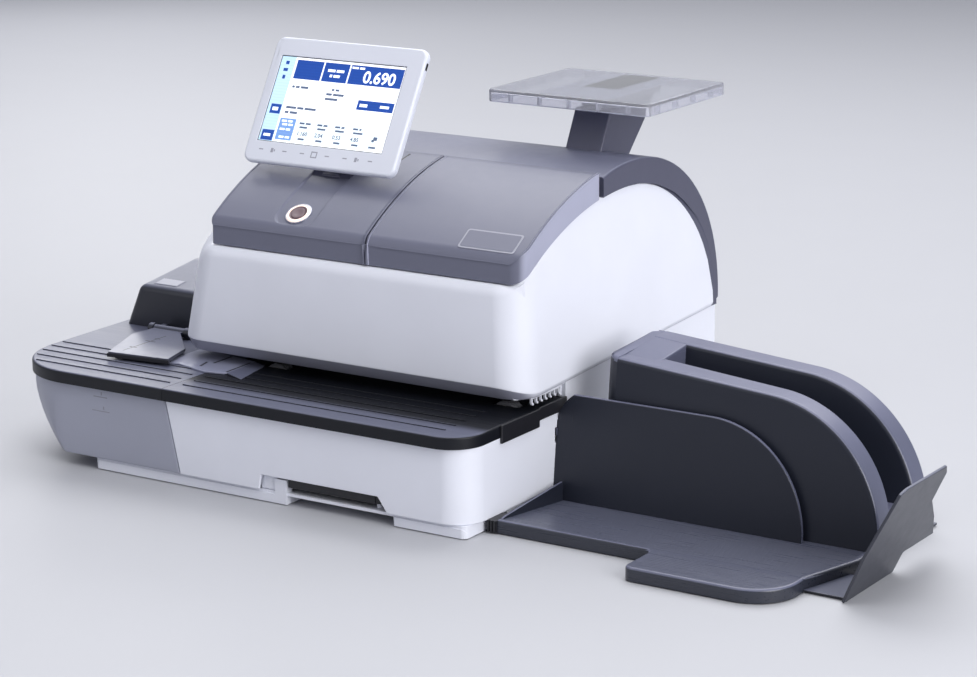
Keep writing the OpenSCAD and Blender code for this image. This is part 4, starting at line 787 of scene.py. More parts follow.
@dataclass
class Base(DeckPlate):
    """Base shell with its deck, lever, rear panel and underside."""

    corner: float = 30.0
    left: float = -302.6
    strip: float = 92.0
    rib_lefts: tuple[float, ...] = (-295.0,) * 5
    rib_right: float = -30.0
    shell_rear: float = 380.0
    shell_top: float = 73.0
    grip_z: float = 16.0
    comb_x: float = -3.4
    comb_thick: float = 2.2
    comb_first: float = 99.0
    comb_pitch: float = 7.0
    comb_count: int = 7
    comb_finger: tuple[Pair, ...] = (
        (0.0, 95.4), (0.0, 91.5), (1.0, 89.6), (2.0, 89.0), (3.4, 89.4),
        (3.4, 90.8), (2.4, 90.6), (1.6, 92.0), (1.6, 95.4))
    pin_places: tuple[Pair, ...] = ((-182.0, 36.0), (-166.0, 36.0), (-174.0, 44.0))
    pin_front: float = 392.5
    pin_rear: float = 406.0

    def build(self) -> None:
        """Builds and dresses the base's pieces."""
        soften("base_shell", "base_moulding", "machine", Finish.WHITE_ABS, 0.9, 3,
               lambda p: p.y < self.shell_rear and p.z < self.shell_top)
        self.deck()
        self.notch()
        soften("exit_guide", "exit_guide_strip", "machine", Finish.BLACK_ABS, 0.8, 3)
        soften("release_lever", "release_grip", "lever", Finish.BLACK_ABS, 0.6, 2,
               lambda p: p.z > self.grip_z)
        soften("rear_panel", "rear_panel_plate", "machine", Finish.CHARCOAL, 0.3)
        soften("power_inlet", "power_inlet_body", "machine", Finish.BLACK_ABS, 0.6)
        self.inlet_pins()
        self.exit_comb()
        soften("rubber_feet", "foot_pads", "machine", Finish.RUBBER, 0.3)
        self.pan()
        dress("base_screws", Finish.ZINC)

    def deck(self) -> None:
        """Builds the deck: a plate with a round free edge, sliding ribs and roller slots behind."""
        turned = [(self.corner * (math.sin(a) - 1), self.corner * (1 - math.cos(a)) - self.lip)
                  for a in (math.radians(5.0 * k) for k in range(19))]
        outline = [(self.left, -self.lip), *turned, (0.0, self.strip), (self.left, self.strip)]
        form = Form().prism(outline, self.deck_z - self.base_z, shift(0, 0, self.base_z))
        form.bevel(self.edge, 4, lambda p: p.z > self.deck_z - 0.1 and p.y < self.strip - 0.1
                   and p.x > self.left + 0.1)
        form.join(self.ribs(self.rib_lefts, self.rib_right))
        form.join(Form.of_node("main_deck").cut((0, self.strip, 0), (0, -1, 0)))
        # The deck's top carries a painted sheen that fades into painted shade in the throat
        form.piece("main_deck_plate", "machine", Finish.THROAT_DARK, replaces=["main_deck"])

    def notch(self) -> None:
        """Lines the finger notch beside the lever with a white scoop."""
        form = Form().box((-207.5, 4.5, 11.2), (-190.0, 7.0, 25.5)).bevel(1.0, 3)
        form.piece("finger_notch", "machine", Finish.WHITE_ABS)

    def exit_comb(self) -> None:
        """Hangs the row of pale guide fingers over the end of the mail path."""
        form = Form()
        for k in range(self.comb_count):
            y = self.comb_first + self.comb_pitch * k
            form.prism([(y + out, z) for out, z in self.comb_finger], self.comb_thick,
                       upright(self.comb_x))
        form.box((self.comb_x, 98.5, 94.6), (self.comb_x + self.comb_thick, 146.0, 96.4))
        form.bevel(0.25, 2).piece("exit_comb", "machine", Finish.WHITE_ABS)

    def inlet_pins(self) -> None:
        """Adds the three flat pins inside the power inlet."""
        form = Form()
        for x, z in self.pin_places:
            form.box((x - 2.0, self.pin_front, z - 1.0), (x + 2.0, self.pin_rear, z + 1.0))
        form.bevel(0.4, 2).piece("inlet_pins", "machine", Finish.NICKEL)

    def pan(self) -> None:
        """Rounds the pan's front skids, most at the right corner."""
        form = Form.of_node("base_pan")
        form.bevel(5.0, 5, lambda p: 2.0 < p.z < 10.5 and p.y < 4.5 and p.x > -5.0)
        form.bevel(2.5, 4, lambda p: 2.0 < p.z < 8.0 and p.y < 4.0 and p.x < -20.0)
        form.piece("base_pan_moulding", "machine", Finish.WHITE_ABS, replaces=["base_pan"])


@dataclass
class SealerEnd(DeckPlate):
    """Moistener end: deck, housing, flap guide and water tank."""

    left: float = -483.0
    right: float = -303.0
    depth: float = 300.0
    corner: float = 70.0
    rear_corner: float = 20.0
    rib_lefts: tuple[float, ...] = (-456.9, -469.1, -475.9, -478.6, -478.9)
    rib_right: float = -309.0
    hood_right: float = -353.0
    hood_front: Pair = (159.0, 123.0)
    hood_crest: Pair = (235.0, 135.0)
    guide_z: float = 90.5
    split_x: float = -395.2

    def build(self) -> None:
        """Builds and dresses the moistener's pieces."""
        soften("sealer_frame", "sealer_frame_moulding", "machine", Finish.WHITE_ABS, 0.9, 3)
        self.deck()
        self.hood()
        self.guide()
        self.tank()
        form = Form().box((-417.0, 98.0, 85.0), (-383.0, 124.0, 86.5)).bevel(0.6, 3)
        felt = form.piece("moistener_felt_pad", "machine", Finish.FELT, replaces=["moistener_felt"])
        soften("guide_pin", "guide_pin_rod", "machine", Finish.BLACK_ABS, 0.3)
        self.entry_ramp()

    def deck(self) -> None:
        """Builds the sealer deck: a plate with a round free edge and sliding ribs."""
        def arc(x: float, y: float, r: float, start: float) -> list[Pair]:
            """Gives a quarter turn of the outline from a start angle, clockwise."""
            return [(x + r * math.cos(math.radians(start - 5.0 * k)),
                     y + r * math.sin(math.radians(start - 5.0 * k))) for k in range(19)]
        outline = [(self.right, -self.lip)]
        outline += arc(self.left + self.corner, self.corner - self.lip, self.corner, 270.0)
        outline += arc(self.left + self.rear_corner, self.depth - self.rear_corner,
                       self.rear_corner, 180.0)
        outline.append((self.right, self.depth))
        form = Form().prism(outline, self.deck_z - self.base_z, shift(0, 0, self.base_z))
        form.bevel(self.edge, 4, lambda p: p.z > self.deck_z - 0.1 and p.x < self.right - 0.1)
        form.join(self.ribs(self.rib_lefts, self.rib_right))
        form.piece("sealer_deck_plate", "machine", Finish.DECK_DARK, replaces=["sealer_deck"])

    def hood(self) -> None:
        """Builds the sealer housing with soft edges, and the bare plate on its top."""
        section = [(-474.2, 158.0, self.deck_z), (-474.2, 298.0, self.deck_z),
                   (-458.6, *self.hood_front), (-453.7, *self.hood_crest),
                   (-456.1, 286.0, 129.0), (-461.9, 298.0, 115.0)]
        form = Form().hull(section + [(self.hood_right, y, z) for _, y, z in section])
        bmesh.ops.dissolve_limit(form.bm, angle_limit=math.radians(1.0), verts=form.bm.verts,
                                 edges=form.bm.edges)
        form.bevel(6.0, 6, lambda p: p.z > self.deck_z + 1.0 and p.x < self.hood_right - 1.0, 8.0)
        eyes = Form.of_node("sealer_housing").cut((0, 157.9, 0), (0, 1, 0))
        form.join(eyes).piece("sealer_hood", "machine", Finish.SEALER_DARK,
                              replaces=["sealer_housing"])
        (y0, z0), (y1, z1) = self.hood_front, self.hood_crest
        rise = (z1 - z0) / (y1 - y0)
        plate_x, plate_y = -433.0, 173.0
        slope = turn("X", math.degrees(math.atan(rise)))
        place = shift(plate_x, plate_y, z0 + (plate_y - y0) * rise) @ slope
        Form().box((-14.0, -8.0, -1.5), (14.0, 8.0, 0.3), place).bevel(1.2, 3).piece(
            "bare_plate_frame", "machine", Finish.GUIDE_GREY)
        Form().box((-12.0, -6.2, -1.0), (12.0, 6.2, 0.5), place).bevel(0.15, 2).piece(
            "bare_plate", "machine", Finish.LIP_GREY)

    def guide(self) -> None:
        """Rounds the flap guide and adds its black front lip and split line."""
        soften("flap_guide", "flap_guide_blade", "flap", Finish.GUIDE_GREY, 0.6, 2,
               lambda p: p.y < 128.0)
        lip = Form().prism([(-405.0, 47.6), (-342.6, 54.6), (-343.2, 56.6), (-405.3, 49.8)], 3.4,
                           shift(0, 0, self.guide_z - 3.3)).bevel(0.4, 2)
        lip.piece("flap_guide_lip", "flap", Finish.BLACK_ABS)
        low, high = self.guide_z + 1.45, self.guide_z + 1.56
        split = Form().box((self.split_x - 0.4, 58.0, low), (self.split_x + 0.4, 118.0, high))
        for y, half in ((72.0, 4.0), (96.0, 5.5), (106.0, 3.0)):
            split.box((self.split_x - half, y - 0.5, low), (self.split_x + half, y + 0.5, high))
        split.piece("flap_guide_split", "flap", Finish.BLACK_ABS, flat=True)

    def entry_ramp(self) -> None:
        """Adds the pale ramp plate that leads mail under the housing, with its slits and dark end."""
        plate = [(-354.0, 62.0), (-338.0, 64.0), (-303.4, 55.0), (-283.5, 60.0), (-285.0, 104.0),
                 (-354.0, 116.0)]
        top = self.deck_z + 1.7
        Form().prism(plate, 1.9, shift(0, 0, self.deck_z - 0.2)).bevel(0.7, 3).piece(
            "entry_ramp_plate", "machine", Finish.RAMP_GREY)
        slits = Form()
        for x, y, long, angle in ((-318.7, 73.7, 15.0, 104.0), (-313.4, 93.6, 26.0, 91.0),
                                  (-286.0, 80.0, 36.0, 92.0)):
            slits.box((-long / 2, -1.1, -0.5), (long / 2, 1.1, 0.06),
                      shift(x, y, top) @ turn("Z", angle))
        slits.bevel(0.04, 1).piece("entry_ramp_slits", "machine", Finish.BLACK_ABS, flat=True)
        end = [(-283.6, 60.5, self.deck_z), (-283.6, 60.5, top), (-262.0, 52.0, self.deck_z),
               (-262.0, 52.0, self.deck_z + 0.9), (-284.9, 103.0, self.deck_z), (-284.9, 103.0, top),
               (-272.0, 99.0, self.deck_z), (-272.0, 99.0, self.deck_z + 0.9)]
        Form().hull(end).bevel(0.5, 2).piece("entry_ramp_end", "machine", Finish.GUIDE_GREY)

    def tank(self) -> None:
        """Rounds the water tank and adds its level marks."""
        soften("water_tank", "water_tank_shell", "tank", Finish.SMOKED, 0.9, 3)
        marks = Form()
        for z, x0, x1 in ((66.5, -381.0, -366.0), (54.0, -383.0, -364.0)):
            marks.box((x0, -0.15, z - 0.5), (x1, 0.1, z + 0.5))
        for k, z in enumerate((69.5, 57.0)):
            marks.box((-373.0 + 2 * k, -0.15, z - 1.4), (-371.6 + 2 * k, 0.1, z + 1.4))
        marks.piece("tank_level_marks", "tank", Finish.LIP_GREY, flat=True)


@dataclass
class Housing:
    """White housing over the mail path: a skin with soft upper edges round a plain core."""

    left: float = -356.0
    right: float = 3.4
    front: float = 78.6
    rear: float = 411.0
    foot: float = 95.0
    foot_rise: float = 16.0 / 327.0
    middle_z: float = 150.0
    seam: float = 190.4
    seam_y: float = 85.0
    crown: float = 245.0
    crown_y: float = 256.0
    rear_foot: float = 111.0
    radius: float = 28.0
    lean_h: float = 95.0
    left_lean: float = 18.6
    right_lean: float = 5.0
    front_lean: float = 2.6
    front_lean_z: float = 104.0
    front_lean_h: float = 86.0
    lip: float = 7.0
    lip_h: float = 11.0
    left_lip: float = 8.0
    right_lip: float = 2.0
    right_lip_h: float = 4.0
    side_front: float = 107.0
    side_rear: float = 402.0
    # How far the upper edges' rounding draws in, and how tall it is
    front_soft: Pair = (6.8, 10.5)
    left_soft: Pair = (17.0, 25.0)
    right_soft: Pair = (1.2, 1.2)
    core_middle: Point = (-174.0, 245.0, 95.0)
    core_share: float = 0.98
    core_gap: float = 9.0
    core_left: float = -300.0
    core_rear: float = 300.0

    def build(self) -> None:
        """Builds the core, the skin and the band along its lower edge."""
        self.core()
        self.skin()

    def core(self) -> None:
        """Draws the CAD shell in, so that it stands clear of the skin's soft left and rear edges."""
        form = Form.of_node("housing_shell")
        middle = shift(*self.core_middle)
        shrink = middle @ Matrix.Scale(self.core_share, 4) @ middle.inverted()
        bmesh.ops.transform(form.bm, matrix=shrink, verts=form.bm.verts)
        for vert in form.bm.verts:
            near_top = vert.co.z > self.top(vert.co.y) - 14.0
            if vert.co.x < self.core_left:
                vert.co.x += self.core_gap
            if near_top and (vert.co.x < self.core_left or vert.co.y > self.core_rear):
                vert.co.z -= self.core_gap
            if vert.co.y > self.core_rear:
                vert.co.y -= self.core_gap
        form.piece("housing_core", "machine", Finish.WHITE_ABS, replaces=["housing_shell"])

    def top(self, y: float) -> float:
        """Gives the housing's height at a depth."""
        if y > self.crown_y:
            share = min((y - self.crown_y) / (self.side_rear + 1.0 - self.crown_y), 1.0)
            return self.rear_foot + (self.crown - self.rear_foot) * math.sqrt(1.0 - share * share)
        rise, run = self.crown - self.seam, self.crown_y - self.seam_y
        bend = (run * run + rise * rise) / (2 * rise)
        return self.crown - bend + math.sqrt(bend * bend - (self.crown_y - max(y, self.seam_y)) ** 2)

    def low(self, y: float) -> float:
        """Gives the height of the housing's lower edge at a depth."""
        return self.foot + self.foot_rise * max(y - self.seam_y, 0.0)

    def columns(self) -> list[Point]:
        """Lists the skin's columns, each as a side share, a turn and a depth or place.

        Returns:
            The kind (-1 left side, 0 front, 1 right side), the plan turn in degrees from the front
            and the depth (sides) or the share of the way along (front).
        """
        depths = [self.side_front + (self.side_rear - self.side_front) * k / 40 for k in range(1, 41)]
        turns = [9.0 * k for k in range(1, 11)]
        left = [(-1.0, 90.0, y) for y in reversed(depths)] + [(-1.0, a, 0.0) for a in reversed(turns)]
        flat = [(0.0, 0.0, k / 8) for k in range(9)]
        right = [(1.0, a, 0.0) for a in turns] + [(1.0, 90.0, y) for y in depths]
        return left + flat + right

    def point(self, side: float, angle: float, where: float, z: float, inset: float) -> Point:
        """Gives a point of the skin.

        Args:
            side: the column's side.
            angle: its turn in plan.
            where: its depth, or its share of the way along the front.
            z: the height.
            inset: how far the point lies inside the plain outline.

        Returns:
            The point.
        """
        up = (z - self.foot) / self.lean_h
        front = self.front + self.front_lean * max(z - self.front_lean_z, 0.0) / self.front_lean_h
        left, right = self.left + self.left_lean * up, self.right - self.right_lean * up
        edge = right if side > 0 else left
        if side == 0:
            flat = right - left - 2 * self.radius
            return (left + self.radius + flat * where, front + inset, z)
        if where:
            return (edge - side * inset, where, z)
        turned = math.radians(angle)
        reach = self.radius - inset
        return (edge - side * self.radius + side * reach * math.sin(turned),
                front + self.radius - reach * math.cos(turned), z)

    def skin(self) -> None:
        """Lofts the skin through its columns."""
        columns: list[list[Point]] = []
        hem_rows, rounds = 6, 7
        for side, angle, where in self.columns():
            facing = math.cos(math.radians(angle)) ** 2
            depth = where if side and where else self.point(side, angle, where, self.middle_z, 0.0)[1]
            low, top = self.low(depth), self.top(depth)
            soft, tall = self.left_soft if side < 0 else self.right_soft
            inset = facing * self.front_soft[0] + (1 - facing) * soft
            height = min(facing * self.front_soft[1] + (1 - facing) * tall, (top - low) * 0.4)
            lip = facing * self.lip + (1 - facing) * (self.left_lip if side < 0 else self.right_lip)
            lip_h = facing * self.lip_h + (1 - facing) * (self.lip_h if side < 0 else self.right_lip_h)
            lip_h = min(lip_h, (top - low) * 0.3)
            rows = [(low, lip + 15.0), (low, lip + 0.8), (low + 0.4, lip + 0.2)]
            rows += [(low + lip_h * k / 3, lip * (1 - k / 3)) for k in (1, 2)]
            rows += [(low + lip_h - 0.4, 0.25), (low + lip_h + 0.6, 0.0)]
            rows += [(low + lip_h + (top - height - low - lip_h) * k / 6, 0.0) for k in range(1, 7)]
            rows += [(top - height + height * math.sin(math.pi / 2 * k / rounds),
                      inset * (1 - math.cos(math.pi / 2 * k / rounds))) for k in range(1, rounds + 1)]
            rows.append((top, inset + (16.0 if side < 0 else 4.0)))
            columns.append([self.point(side, angle, where, z, i) for z, i in rows])
        form = Form()
        grid = form.sheet(columns)
        hem = {vert for column in grid for vert in column[:hem_rows]}
        # The hem's faces take a grey of painted shade, turned nearly white by painted light where they
        # face right
        form.tint(1, lambda f: hem.issuperset(f.verts))
        for end in (grid[0], grid[-1]):
            form.bm.faces.new(end)
        form.face_out(Vector((0, -1, 0))).piece("housing_skin", "machine", Finish.WHITE_ABS,
                                                Finish.HEM_PAINTED_SHADE, wall=1.5)


@dataclass
class TopCovers:
    """Grey covers over the housing that they rest on: fixed left cover, hinged lid and rear arch."""

    housing: Housing
    crown: float = 268.0
    radius: float = 290.2273
    crown_y: float = 256.0
    front: float = 86.0
    edge_z: float = 208.4
    turn_y: float = 87.4
    turn_z: float = 214.6
    blend_y: float = 91.5
    back: float = 207.5
    left: float = -316.0
    joint: float = -155.25
    right: float = -2.0
    gap: float = 1.7
    channel_x: float = -235.0
    channel_half: float = 20.0
    channel_front: float = 90.5
    channel_round: float = 10.0
    channel_deep: float = 1.5
    channel_step: float = 0.8
    # How far the bead round a cover's rim stands out, and how far below the rim
    bead: tuple[Pair, ...] = ((0.25, 0.1), (0.35, 0.35), (0.35, 0.7), (-0.35, 0.9))
    skirt_inset: float = 0.35
    skirt_gap: float = 0.15
    web_thick: float = 2.0
    web_inset: float = 2.9
    hinge_x: Pair = (-135.0, -34.0)
    hinge_y: float = 211.0
    hinge_z: float = 258.919

    def build(self) -> None:
        """Builds and dresses the top covers."""
        self.cover("left_cover_moulding", "machine", "left_top_cover", self.left,
                   self.joint - self.gap / 2, 2.5, 0.0, True)
        self.cover("cartridge_lid_moulding", "lid", "cartridge_lid", self.joint + self.gap / 2,
                   self.right, 0.0, 13.0, False)
        soften("rear_cover", "rear_arch_moulding", "machine", Finish.ARCH_GREY, 2.2, 4, self.arch_edge)
        self.arch_web()
        soften("lid_hinge_pins", "lid_pins", "machine", Finish.STEEL, 0.3)
        self.knuckles()
        self.badge()
        slit = self.on_lid(-187.8, 190.0)
        Form().box((-0.8, -12.0, -0.8), (0.8, 12.0, 0.06), slit).piece(
            "cover_slit", "machine", Finish.BLACK_ABS, flat=True)

    def arch_web(self) -> None:
        """Carries the rear cover's dark right end inwards to the white side."""
        side = self.housing
        steps = [self.crown_y + 4.0 + (side.side_rear - 5.0 - self.crown_y) * math.sin(
            math.pi / 2 * k / 24) for k in range(25)]
        spread = (side.rear - self.crown_y) / (side.side_rear - self.crown_y)
        inner = [(y, max(side.top(y) - 5.0, side.rear_foot + 1.0)) for y in steps]
        outer = [(self.crown_y + (y - self.crown_y) * spread, side.top(y) + 0.6) for y in steps]
        for line in (inner, outer):
            line.append((line[-1][0], side.low(side.rear) + 0.6))
        form = Form().prism(inner + outer[::-1], self.web_thick, upright(0.0))
        for vert in form.bm.verts:
            lean = side.right_lean * (vert.co.z - side.foot) / side.lean_h
            vert.co.x += side.right - lean - self.web_inset
        form.piece("rear_arch_web", "machine", Finish.ARCH_GREY)

    def arch_edge(self, p: Vector) -> bool:
        """Tells whether a point lies on the rear cover's outer side edges."""
        return (abs(p.x - self.right) < 0.2 or abs(p.x - self.left) < 0.2) and p.y > 216 and (
            p.z > self.housing.top(p.y) + 5.0 or p.y > 405)

    def top(self, y: float) -> float:
        """Gives the covers' height at a depth: an arc that turns down to a crisp front edge."""
        if y >= self.blend_y:
            return self.crown - self.radius + math.sqrt(
                self.radius ** 2 - (self.crown_y - y) ** 2)
        end = self.top(self.blend_y)
        y = max(y, self.front)
        a = self.front - 2 * self.turn_y + self.blend_y
        b = 2 * (self.turn_y - self.front)
        share = (-b + math.sqrt(b * b + 4 * a * (y - self.front))) / (2 * a)
        return ((1 - share) ** 2 * self.edge_z + 2 * share * (1 - share) * self.turn_z
                + share ** 2 * end)

    def on_lid(self, x: float, y: float) -> Matrix:
        """Gives a frame that lies on the covers, with z along their normal."""
        slope = math.degrees(math.atan2(self.top(y + 2.0) - self.top(y - 2.0), 4.0))
        return shift(x, y, self.top(y)) @ turn("X", slope)

    def cover(self, name: str, body: str, node: str, x0: float, x1: float, r0: float, r1: float,
              channel: bool) -> None:
        """Lofts one cover with its skirt.

        Args:
            name: the piece's name.
            body: the body that it rides on.
            node: the CAD node that it replaces.
            x0, x1: its ends along the mail path.
            r0, r1: plan radii of its front corners at those ends.
            channel: whether the recess of the button and display foot runs through it.
        """
        form = Form()
        if channel:
            depths = [0.0, 0.1, 0.3, 0.7, 1.3, 2.0, 2.5, 3.4]
            depths += [4.2 + self.channel_step * k for k in range(22)]
        else:
            depths = [r1 * (1 - math.cos(math.radians(7.5 * k))) for k in range(13)] + [16.0, 20.0]
        depths = [self.front + v for v in depths]
        depths += [self.front + 24.0 + (self.back - self.front - 24.0) * k / 16
                   for k in range(17)]

        def cut(y: float, r: float) -> float:
            """Gives how far a round corner draws the end in at a depth."""
            short = r - (y - self.front)
            return r - math.sqrt(r * r - short * short) if short > 0 else 0.0
        rows: list[list[Point]] = []
        for y in depths:
            low, high = x0 + cut(y, r0), x1 - cut(y, r1)
            places = [low + (high - low) * k / 12 for k in range(13)]
            if channel:
                inner = [self.channel_x + self.channel_step * k for k in range(-30, 31)]
                places = [low + (inner[0] - low) * k / 5 for k in range(5)] + inner
                places += [inner[-1] + (high - inner[-1]) * k / 5 for k in range(1, 6)]
            rows.append([(x, y, self.top(y) - (self.sunk(x, y) if channel else 0.0)) for x in places])
        grid = form.sheet(rows)
        rim = [row[-1] for row in reversed(grid)] + grid[0][-2:0:-1] + [row[0] for row in grid]
        rings: list[list[Point]] = [[tuple(vert.co) for vert in rim]]
        for out, drop in (*self.bead, (-self.skirt_inset, 0.0)):
            ring: list[Point] = []
            for vert in rim:
                way = self.outward(vert.co, x0, x1, r0, r1)
                joint = abs(vert.co.x - self.joint) < 1.0
                side = way * (min(out, 0.0) if joint else out)
                z = vert.co.z - drop if drop else self.housing.top(vert.co.y) + self.skirt_gap
                ring.append((vert.co.x + side.x, vert.co.y + side.y, z))
            rings.append(ring)
        form.sheet(rings)
        bmesh.ops.remove_doubles(form.bm, verts=form.bm.verts, dist=0.001)
        # The lid's grey carries painted light on the faces that look right
        finish = Finish.COVER_GREY if channel else Finish.LID_GREY_LIT_RIGHT
        form.face_out(Vector((0, 0, 1))).piece(name, body, finish, replaces=[node], wall=2.0)

    def sunk(self, x: float, y: float) -> float:
        """Gives the depth of the button's recess: a slot with a round front end and soft walls."""
        r = self.channel_round
        across = abs(x - self.channel_x) - self.channel_half + r
        along = self.channel_front + r - y
        out = math.hypot(max(across, 0.0), max(along, 0.0)) + min(max(across, along), 0.0) - r
        share = min(max(0.5 - out / 1.6, 0.0), 1.0)
        return self.channel_deep * share * share * (3 - 2 * share)

    def outward(self, p: Vector, x0: float, x1: float, r0: float, r1: float) -> Vector:
        """Gives the plan direction that faces out of a cover at a point of its rim."""
        for x, r, sign in ((x0, r0, -1), (x1, r1, 1)):
            middle = Vector((x - sign * r, self.front + r))
            if r and sign * (p.x - middle.x) >= -0.01 and p.y <= middle.y:
                return (p.xy - middle).normalized()
        if p.y < self.front + 0.01:
            return Vector((0.0, -1.0))
        return Vector((-1.0 if p.x < (x0 + x1) / 2 else 1.0, 0.0))

    def knuckles(self) -> None:
        """Adds the lid's hinge knuckles with their arms."""
        form = Form()
        for x in self.hinge_x:
            form.lathe([(1.55, 0.0), (2.4, 0.0), (2.7, 0.3), (2.7, 11.7), (2.4, 12.0), (1.55, 12.0),
                        (1.55, 0.0)], shift(x, self.hinge_y, self.hinge_z) @ turn("Y", 90.0), 24)
            form.box((x, 203.0, 257.4), (x + 12.0, 209.2, 260.4))
        form.piece("lid_knuckles", "lid", Finish.COVER_GREY)

    def badge(self) -> None:
        """Adds the bare badge plate in its raised frame on the lid."""
        place = self.on_lid(-40.0, 99.0)
        inverse = place.inverted()
        form = Form().box((-27.0, -11.0, -1.1), (27.0, 11.0, 0.4), place)
        form.bevel(2.5, 4, lambda p: abs((inverse @ p).z) < 0.38, 60.0).bevel(0.2, 2)
        # The frame's pale grey is a painted highlight along its bevel
        form.piece("badge_frame", "lid", Finish.LIP_GREY)
        plate = Form().box((-25.3, -9.3, 0.3), (25.3, 9.3, 0.6), place)
        plate.bevel(1.5, 4, lambda p: 0.4 < (inverse @ p).z < 0.5, 60.0)
        plate.piece("badge_plate", "lid", Finish.COVER_GREY)


@dataclass
class StartButton:
    """Start button in its lit ring."""

    x: float = -235.0
    y: float = 102.0
    button_r: float = 6.5
    ring_r: float = 12.0
    ring_foot: float = -7.5

    def build(self, covers: TopCovers) -> None:
        """Turns the ring, its rim and the button.

        Args:
            covers: the covers that carry the button.
        """
        place = covers.on_lid(self.x, self.y)
        inner = self.button_r + 0.1
        ring = Form().lathe([(inner, self.ring_foot), (10.9, self.ring_foot), (10.9, -0.7), (10.2, 0.1),
                             (8.6, 0.35), (8.2, 0.2), (7.2, -0.1), (inner, -0.5),
                             (inner, self.ring_foot)], place)
        inverse = place.inverted()
        ring.tint(1, lambda f: (inverse @ f.calc_center_median()).xy.length < 8.3)
        ring.piece("light_ring_guide", "machine", Finish.RING_LIGHT, Finish.ROSE_GREY,
                   replaces=["light_ring"])
        Form().lathe([(10.95, -5.0), (self.ring_r, -5.0), (self.ring_r, -0.9), (11.8, -0.4),
                      (11.3, -0.3), (10.95, -0.6), (10.95, -5.0)], place).piece(
                          "light_ring_rim", "machine", Finish.NICKEL)
        Form().lathe([(0.0, self.ring_foot), (self.button_r, self.ring_foot), (self.button_r, -0.2),
                      (6.1, 0.35), (5.2, 0.5), (3.0, 0.2), (0.0, 0.1)], place).piece(
                          "start_key", "button", Finish.ROSE_GREY, replaces=["start_button"])


